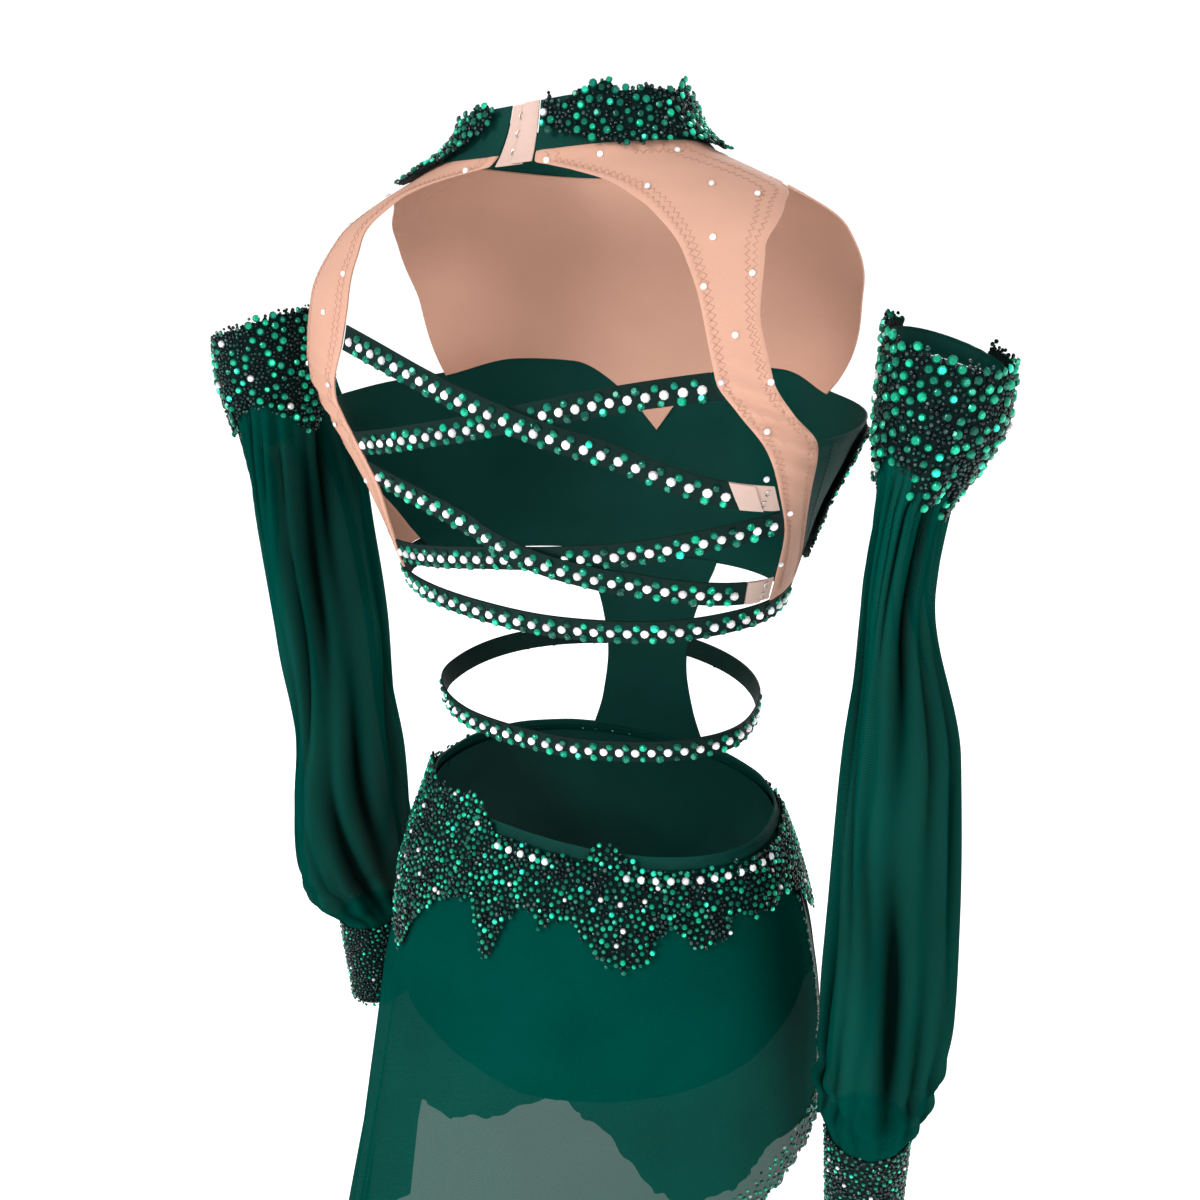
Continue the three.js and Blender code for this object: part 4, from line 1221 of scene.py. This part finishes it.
cloth("brief_back", figure, 70, 36, brief_place(0), satin)
cloth("brief_front", figure, 70, 36, brief_place(180), satin)
s = np.linspace(0.01, 0.99, 400)
paths = [stitch(brief_place(first), s, row, 0.12, swing=0.9, length=3.5) for first in (0, 180)
         for row in (0.955, 0.975)]
threads("brief_stitching", paths, 0.3, green_thread)


# %% Gusset
GUSSET_ACROSS, GUSSET_DOWN = 16, 48
GUSSET_CELL = (4.0, 4.6)


def gusset_surface():
    """The strip under the body, from the brief's back edge to its front edge."""
    s, t = np.meshgrid(np.linspace(0, 1, GUSSET_ACROSS + 1), np.linspace(0, 1, GUSSET_DOWN + 1))

    def end(centre, share):
        angle = mix(centre - GUSSET_ANGLE, centre + GUSSET_ANGLE, share)
        height = leg(90 - np.abs(angle - centre)) - 0.7
        return lifted(figure, angle, height, np.full_like(angle, 1.25))[0]

    middle = mix(end(90, s), end(270, 1 - s), t[..., None])
    bow = np.sin(np.pi * t)
    middle[..., 0] *= 1 - (1 - GUSSET_WAIST) * bow
    middle[..., 2] -= CROTCH_DIP * bow**0.7
    out = unit(np.stack([0 * t, np.cos(np.pi * t), -0.25 - bow], -1))
    return middle + out * 0.75


points = gusset_surface()
corners = grid_faces(GUSSET_DOWN + 1, GUSSET_ACROSS + 1, False)
gusset = new_object("brief_gusset_cloth", points.reshape(-1, 3), corners, satin)
cells = np.meshgrid(np.arange(GUSSET_ACROSS + 1), np.arange(GUSSET_DOWN + 1))
flat = np.stack(cells, -1).reshape(-1, 2) * GUSSET_CELL
gusset.data.uv_layers.new(name="UVMap").data.foreach_set("uv", flat[corners].ravel())
thicken(gusset, 1.2)
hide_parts("brief_gusset")
gusset_length = np.linalg.norm(np.diff(points[:, GUSSET_ACROSS // 2], axis=0), axis=-1).sum()
gusset_width = np.linalg.norm(np.diff(points[0], axis=0), axis=-1).sum()
sheets["brief_gusset"] = (round(gusset_width), round(gusset_length))
print("brief:", sheets["brief_back"], "gusset:", sheets["brief_gusset"])

# %% [markdown]
# ## Skirt
#
# The skirt is one layer of sheer mesh in two parts, open at the wearer's right hip and longest at the back
# left. It hugs the hips and then falls away in folds. The folds are sums of waves round the body that grow
# with the drop, which is how flared cloth falls, and the raw hem flutes a little. At the left side seam the
# back part laps over the front part.

# %% Skirt
FLARE_START = -540
FLARE_DROP = 300
FLARE = [(-180, 6), (-120, 26), (-60, 44), (0, 62), (45, 62), (90, 46), (135, 24), (180, 6)]
SKIRT_FOLDS = 9
FOLD_DEPTH = 11
LEFT_SEAM = 6
SIDE_LAP = 1.2
LAP_LIFT = 0.5
SLIT_BACK_EDGE = 185
SLIT_FRONT_EDGE = 187
HEM_BACK = [
    (6, -950), (20, -940), (45, -895), (75, -848), (110, -780), (140, -716), (160, -684), (172, -672),
    (185, -678),
]
HEM_FRONT = [
    (187, -680), (205, -735), (220, -800), (240, -890), (258, -965), (276, -995), (286, -1010), (292, -985),
    (298, -940), (306, -896), (315, -877), (328, -924), (340, -897), (350, -842), (354.6, -822),
    (355.6, -955), (366, -952),
]
flare_at = line(FLARE)


def skirt(angle, height, fine=1.0):
    drop = np.maximum(0, (FLARE_START - height) / FLARE_DROP)
    flare = flare_at((angle + 180) % 360 - 180)
    looseness = np.clip(flare / 46, 0.25, 1)
    fold = FOLD_DEPTH * sine(angle * SKIRT_FOLDS) * looseness
    small = 2.6 * sine(angle * 17 + 40 + 14 * np.sin(height / 60)) + 1.7 * sine(angle * 31 + 110)
    at = figure(angle, np.maximum(height, FLARE_START - 40))
    out = flare * drop**1.05 + fold * drop**1.3 + fine * small * drop**0.9 * looseness
    return at + np.stack([cosine(angle) * out, sine(angle) * out, height - at[..., 2]], -1)


def skirt_place(hem, first, last):
    hem_at = line(hem)

    def place(s, t):
        angle = mix(first, last, s)
        flute = 1.5 * rise(0.93, 1, t) * sine(angle * 67)
        lapped = LAP_LIFT * (1 - rise(0, 0.03, s))
        return angle, mix(waist_foot(angle), hem_at(angle), t**1.12), SKIRT_LAYER + flute + lapped
    return place


back_place = skirt_place(HEM_BACK, LEFT_SEAM - SIDE_LAP, SLIT_BACK_EDGE)
front_place = skirt_place(HEM_FRONT, SLIT_FRONT_EDGE, LEFT_SEAM + 360)
cloth("skirt_back", skirt, 240, 72, back_place, sheer, 0)
cloth("skirt_front", skirt, 290, 62, front_place, sheer, 0)
print("skirt:", sheets["skirt_back"], sheets["skirt_front"])

# %% [markdown]
# Beaded lace hangs from the waistband all round, in lobes and pointed tails. Four motifs meet end to end.
# Under the band runs a row of crystals, and small beads edge the slit and are scattered by the back hem.

# %% Hip lace
HIP_LACE = {
    "left": [(-36, -478), (-24, -502), (-12, -486), (0, -512), (12, -522), (21, -500), (29, -524), (37, -540),
             (45, -500), (53, -484)],
    "back": [(53, -484), (62, -478), (70, -492), (76, -508), (82, -478), (89, -470), (96, -480), (102, -472),
             (109, -474), (115, -486), (122, -494), (130, -496), (136, -480), (141, -470)],
    "right": [(141, -470), (147, -484), (153, -482), (159, -468), (167, -474), (175, -470), (183, -482),
              (192, -508), (202, -488), (212, -472), (222, -466)],
    "front": [(222, -466), (234, -488), (246, -474), (258, -496), (270, -512), (282, -494), (294, -474),
              (308, -490), (324, -478)],
}
HIP_LACE_RISE = [
    (-36, 0), (0, 4), (12, 17), (19, 22), (25, 14), (33, 14), (40, 17), (47, 20), (54, 15), (61, 5),
    (67, 0), (112, 0), (119, 11), (126, 12), (132, 5), (137, 0),
]
lace_climb = line(HIP_LACE_RISE)
for side, table in HIP_LACE.items():
    first, last = table[0][0], table[-1][0]
    lace(f"hip_applique_{side}", skirt, LACE_ON_SKIRT,
         lambda angle: waist_foot(angle) - 1 + lace_climb((angle + 180) % 360 - 180), line(table),
         first + 0.15, last - 0.15, int((last - first) * 1.9), 12, 9000, (2.2, 7.3), stones=(3.9, 2.1),
         beads=1.6, chips=1.15)

# %% Skirt stones
WAIST_CRYSTAL_STEP = 9.6
WAIST_CRYSTAL_SIZE = 5.4
WAIST_CRYSTAL_DROP = 5.5
EDGE_BEAD_SIZE = 2.9
SCATTER_SPAN = (118, 184.6)
SCATTER_RISE = 26

angle = np.linspace(0, 360, 2000)
points, _ = lifted(
    skirt, angle, waist_foot(angle) - WAIST_CRYSTAL_DROP, np.full_like(angle, LACE_ON_SKIRT + 1.6))
at = np.interp(walk(points, WAIST_CRYSTAL_STEP), np.arange(len(angle)), angle)
at = at[(at > 62) & (at < 101) | (at > 129) & (at < 176)]
places, outs = lifted(
    skirt, at, waist_foot(at) - WAIST_CRYSTAL_DROP, np.full_like(at, LACE_ON_SKIRT + 1.8))
sew_on("waist_crystals", stone, places, outs, np.full(len(at), WAIST_CRYSTAL_SIZE),
       tints_from(CRYSTAL, (0.5, 0.3, 0.2), len(at)), clear_crystal, 0.08, rim=0.6)

hem_back = line(HEM_BACK)
scatter = chance.uniform(0, 1, (2, 900))
angle = mix(*SCATTER_SPAN, scatter[0])
height = hem_back(angle) + 1.5 + SCATTER_RISE * scatter[1]**1.8
slit_height = np.arange(-674, -482, 3.4)
slit_angle = SLIT_BACK_EDGE - 0.6 - 1.6 * chance.uniform(size=len(slit_height))
angle = np.concatenate([slit_angle, angle])
height = np.concatenate([slit_height, height])
places, outs = lifted(skirt, angle, height, np.full_like(angle, SKIRT_LAYER + 0.1))
kept = pack(places, 1.9, {})
sew_on("skirt_edge_beads", bead, places[kept], outs[kept],
       EDGE_BEAD_SIZE * chance.uniform(0.85, 1.2, len(kept)),
       tints_from(EMERALD[:3] + [(0.25, 0.42, 0.38)], (0.25, 0.3, 0.25, 0.2), len(kept)), glass_bead)
print("skirt edge beads:", len(kept))

# %% [markdown]
# ## Sleeves
#
# The sleeves are armlets: an elastic band at the top, a balloon of sheer mesh, and a deep beaded cuff. The
# mesh is gathered into both ends, so there are many small folds there, and they run together into a few
# large ones between. Over the cuff the balloon sags a little, which gives the low cross folds.

# %% Sleeve surfaces
SLEEVE_RIGHT = [
    (-104, 235, 36, 29, 42), (-128, 234, 37, 29, 42), (-150, 230, 38, 26, 42),
    (-166, 226.5, 39, 21.5, 42.5), (-182, 222.5, 41, 17.5, 43), (-240, 217, 43, 18, 41),
    (-336, 225, 41, 32, 55), (-450, 226, 40, 38, 58), (-515, 226, 40, 40, 57), (-560, 224, 40, 38, 52),
    (-595, 221, 40, 34, 40), (-618, 219, 40, 26, 28),
]
SLEEVE_LEFT = [
    (-106, 233, 22, 31, 43), (-128, 233, 22, 31, 43), (-150, 231, 20, 29, 46), (-166, 229, 17, 26, 50),
    (-182, 228, 14, 24, 54), (-240, 226, 8, 27, 60), (-336, 226, 4, 33, 58), (-400, 226, 2, 31, 56),
    (-470, 230, 0, 38, 62), (-530, 235, -2, 45, 60), (-578, 237, -6, 43, 47), (-594, 232, -9, 33, 37),
    (-602, 231, -10, 27.5, 29.5), (-608, 231, -10, 26, 28),
]
SLEEVE_VALLEYS = [  # angle from the inner side towards the back, depth, width in degrees
    (14, 7, 9), (40, 8, 9), (66, 5, 5), (90, 3, 8), (118, 9, 11), (150, 5, 7), (178, 6, 7), (212, 6, 9),
    (255, 5, 9), (300, 6, 9), (336, 6, 8),
]
SLEEVE_TILT = -12
SLEEVE_BAND = 12
SEAM_LAP = 7
SLEEVE_LACE_FOOT = [
    (-64, -158), (-36, -174), (0, -188), (32, -168), (60, -172), (85, -158), (115, -152), (142, -162),
    (172, -174), (206, -150),
]
SLEEVE_COLUMN = 360 / 28
CUFF_LENGTH = 78
CUFF_TAPER = 3


def sleeve_surface(table, side):
    section = smooth(table)
    top, end = table[0][0], table[-1][0]

    def folds(angle, height):
        """How far the cloth stands out from the smooth sleeve, and how much of that is deep valley."""
        gather = np.clip((top - 30 - height) / 60, 0, 1) * np.clip((height - end + 12) / 60, 0.2, 1)
        low = np.clip((height - end) / 14, 0, 1)
        ends = np.exp(-((height - top + 70) / 60)**2) + np.exp(-((height - end) / 70)**2) * low
        turned = angle + 9 * np.sin(height / 95) + 5 * np.sin(height / 37 + 2 * side)
        fold = 1.2 * gather * sine(turned * 4 + 30) + 0.7 * gather * sine(turned * 9 + 200) - 1.2 * gather
        inner = turned if side == -1 else 180 - turned
        deep = 0
        for number, (valley, depth, width) in enumerate(SLEEVE_VALLEYS):
            apart = (inner - valley - 6 * np.sin(height / 70 + number) + 180) % 360 - 180
            strength = gather * (0.6 + 0.4 * np.sin(height / 42 + 1.7 * number))
            deep = deep + depth * strength * np.exp(-(apart / width)**2)
        fold = fold - deep + 1.5 * ends * gather * sine(turned * 23)
        sag = np.exp(-((height - end - 42) / 26)**2) * low
        cross_folds = 2.2 * np.sin(height / 5.4 + 2.4 * cosine(angle * 3)) + 1.4 * sine(angle * 5)
        return fold + sag * cross_folds, deep

    def surface(angle, height):
        angle, height = np.broadcast_arrays(np.asarray(angle, float), np.asarray(height, float))
        reach, middle, half_across, half_depth = np.moveaxis(section(height), -1, 0)
        swell = 1 + folds(angle, height)[0] / half_across
        x, y = cosine(angle), sine(angle)
        tilt = np.clip(1 - (top - height) / 90, 0, 1) * SLEEVE_TILT * x * side
        return np.stack([side * reach + half_across * swell * x, middle + half_depth * swell * y,
                         height + tilt], -1)

    # painted shade: how deep a point lies in a valley, 0 to 1, which darkens the sheer mesh there
    def bunching_and_shade(angle, height):
        return np.clip(folds(angle, height)[1] / 6, 0, 1)
    return surface, bunching_and_shade


# %% Sleeves
for side, sign, table in (("right", -1, SLEEVE_RIGHT), ("left", 1, SLEEVE_LEFT)):
    surface, bunching_and_shade = sleeve_surface(table, sign)
    top, (end, reach, middle, half_across, half_depth) = table[0][0], table[-1]

    def band_place(s, t):
        gathers = 0.3 * sine(s * 360 * 26) * (1 - t)
        return s * 360, top - SLEEVE_BAND * t, 1.5 + rolled(t, 0.5, 0.25) + gathers

    inward, outward = (180, 0) if sign == 1 else (0, 180)

    def tube_place(s, t):
        lapped = LAP_LIFT * rise(1 - SEAM_LAP / 360, 1, s)
        return inward + s * (360 + SEAM_LAP), mix(top - SLEEVE_BAND - 0.2, end, t), 1.2 + lapped

    cloth(f"sleeve_band_{side}", surface, 200, 8, band_place, satin, 1.3, loop=True)
    # the sleeve mesh is painted darker in its deep valleys
    cloth(f"sleeve_{side}", surface, 200, 150, tube_place, sheer, 0,
          bunching_and_shade=bunching_and_shade)
    foot = line(SLEEVE_LACE_FOOT)
    first, last = -5 * SLEEVE_COLUMN, 16 * SLEEVE_COLUMN
    if sign == -1:
        first, last = 180 - last, 180 - first
    lace(f"sleeve_applique_{side}", surface, 2.7, lambda angle: top + 4 + 0 * angle,
         lambda angle: foot((angle - outward) * sign), first, last, 160, 14, 9000, (2.4, 7.0),
         stones=(5.2, 2.9), bright=-0.2, glitter=(0.45, 0.35, 0.1, 0.1))

    def cuff(angle, height):
        taper = CUFF_TAPER * ((end - height) / CUFF_LENGTH)
        return np.stack([sign * reach + (half_across - taper) * cosine(angle),
                         middle + (half_depth - taper) * sine(angle), height + 0 * angle], -1)

    def cuff_place(s, t):
        return s * 360, mix(end - 0.4, end - CUFF_LENGTH, t), 1.6 + rolled(t, 0.4, 0.03)

    cloth(f"cuff_{side}", cuff, 96, 20, cuff_place, lace_ground, 1.3, loop=True)
    bead_work(f"cuff_{side}", cuff, cuff_place, 9000, stones=(3.0, 2.0), beads=1.3,
              glitter=(0.12, 0.33, 0.5, 0.05))
print("sleeves:", sheets["sleeve_right"], sheets["sleeve_left"])

# %% [markdown]
# ## Studio
#
# A pale floor, a white world and four large soft lamps. The dress hangs well above the floor, so its shadow
# is faint. What the camera sees of the world is brighter than what lights the cloth, which keeps the green
# deep.

# %% Floor and light
FLOOR_LEVEL = -1.15
WORLD_ON_CLOTH = 0.52
WORLD_SEEN = 1.1

bpy.ops.object.select_all(action="DESELECT")
bpy.ops.mesh.primitive_circle_add(vertices=96, radius=14, fill_type="NGON", location=(0, 0, FLOOR_LEVEL))
floor = bpy.context.object
floor.name = "floor"
floor_finish = Finish("pale_floor", Roughness=0.9, Specular_IOR_Level=0.0,
                      Emission_Color=colour(1, 1, 1), Emission_Strength=0.72)
floor_tone = floor_finish.between(
    floor_finish.noise(3.0), colour(0.86, 0.86, 0.86), colour(0.9, 0.9, 0.9))
floor.data.materials.append(floor_finish.set(Base_Color=floor_tone))
floor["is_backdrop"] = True

world = bpy.data.worlds.new("studio")
world.use_nodes = True
bpy.context.scene.world = world
background = world.node_tree.nodes["Background"]
background.inputs["Color"].default_value = colour(1, 1, 1)
path = world.node_tree.nodes.new("ShaderNodeLightPath")
strength = world.node_tree.nodes.new("ShaderNodeMapRange")
strength.inputs[3].default_value = WORLD_ON_CLOTH
strength.inputs[4].default_value = WORLD_SEEN
world.node_tree.links.new(path.outputs["Is Camera Ray"], strength.inputs[0])
world.node_tree.links.new(strength.outputs[0], background.inputs["Strength"])


def lamp(name, place, size, power):
    light = bpy.data.lights.new(name, "AREA")
    light.size = size
    light.energy = power
    made = bpy.data.objects.new(name, light)
    away = unit(np.array(place) - (0, 0, -0.4))
    side = unit(np.cross((0, 0, 1), away))
    turned = np.eye(4)
    turned[:3] = np.column_stack([side, np.cross(away, side), away, place])
    made.matrix_world = Matrix(turned.tolist())
    bpy.context.scene.collection.objects.link(made)


lamp("key", (0.9, 1.9, 1.1), 0.9, 37)
lamp("fill", (-1.9, 1.2, 0.3), 0.9, 12)
lamp("front", (0.4, -2.2, 0.9), 1.4, 22)
lamp("low", (0.2, 2.0, -0.9), 1.2, 12)
bpy.context.scene.view_settings.view_transform = "Standard"
meshes = [piece.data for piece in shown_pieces() if piece.type == "MESH"]
print("triangles:", sum(len(face.vertices) - 2 for mesh in meshes for face in mesh.polygons))
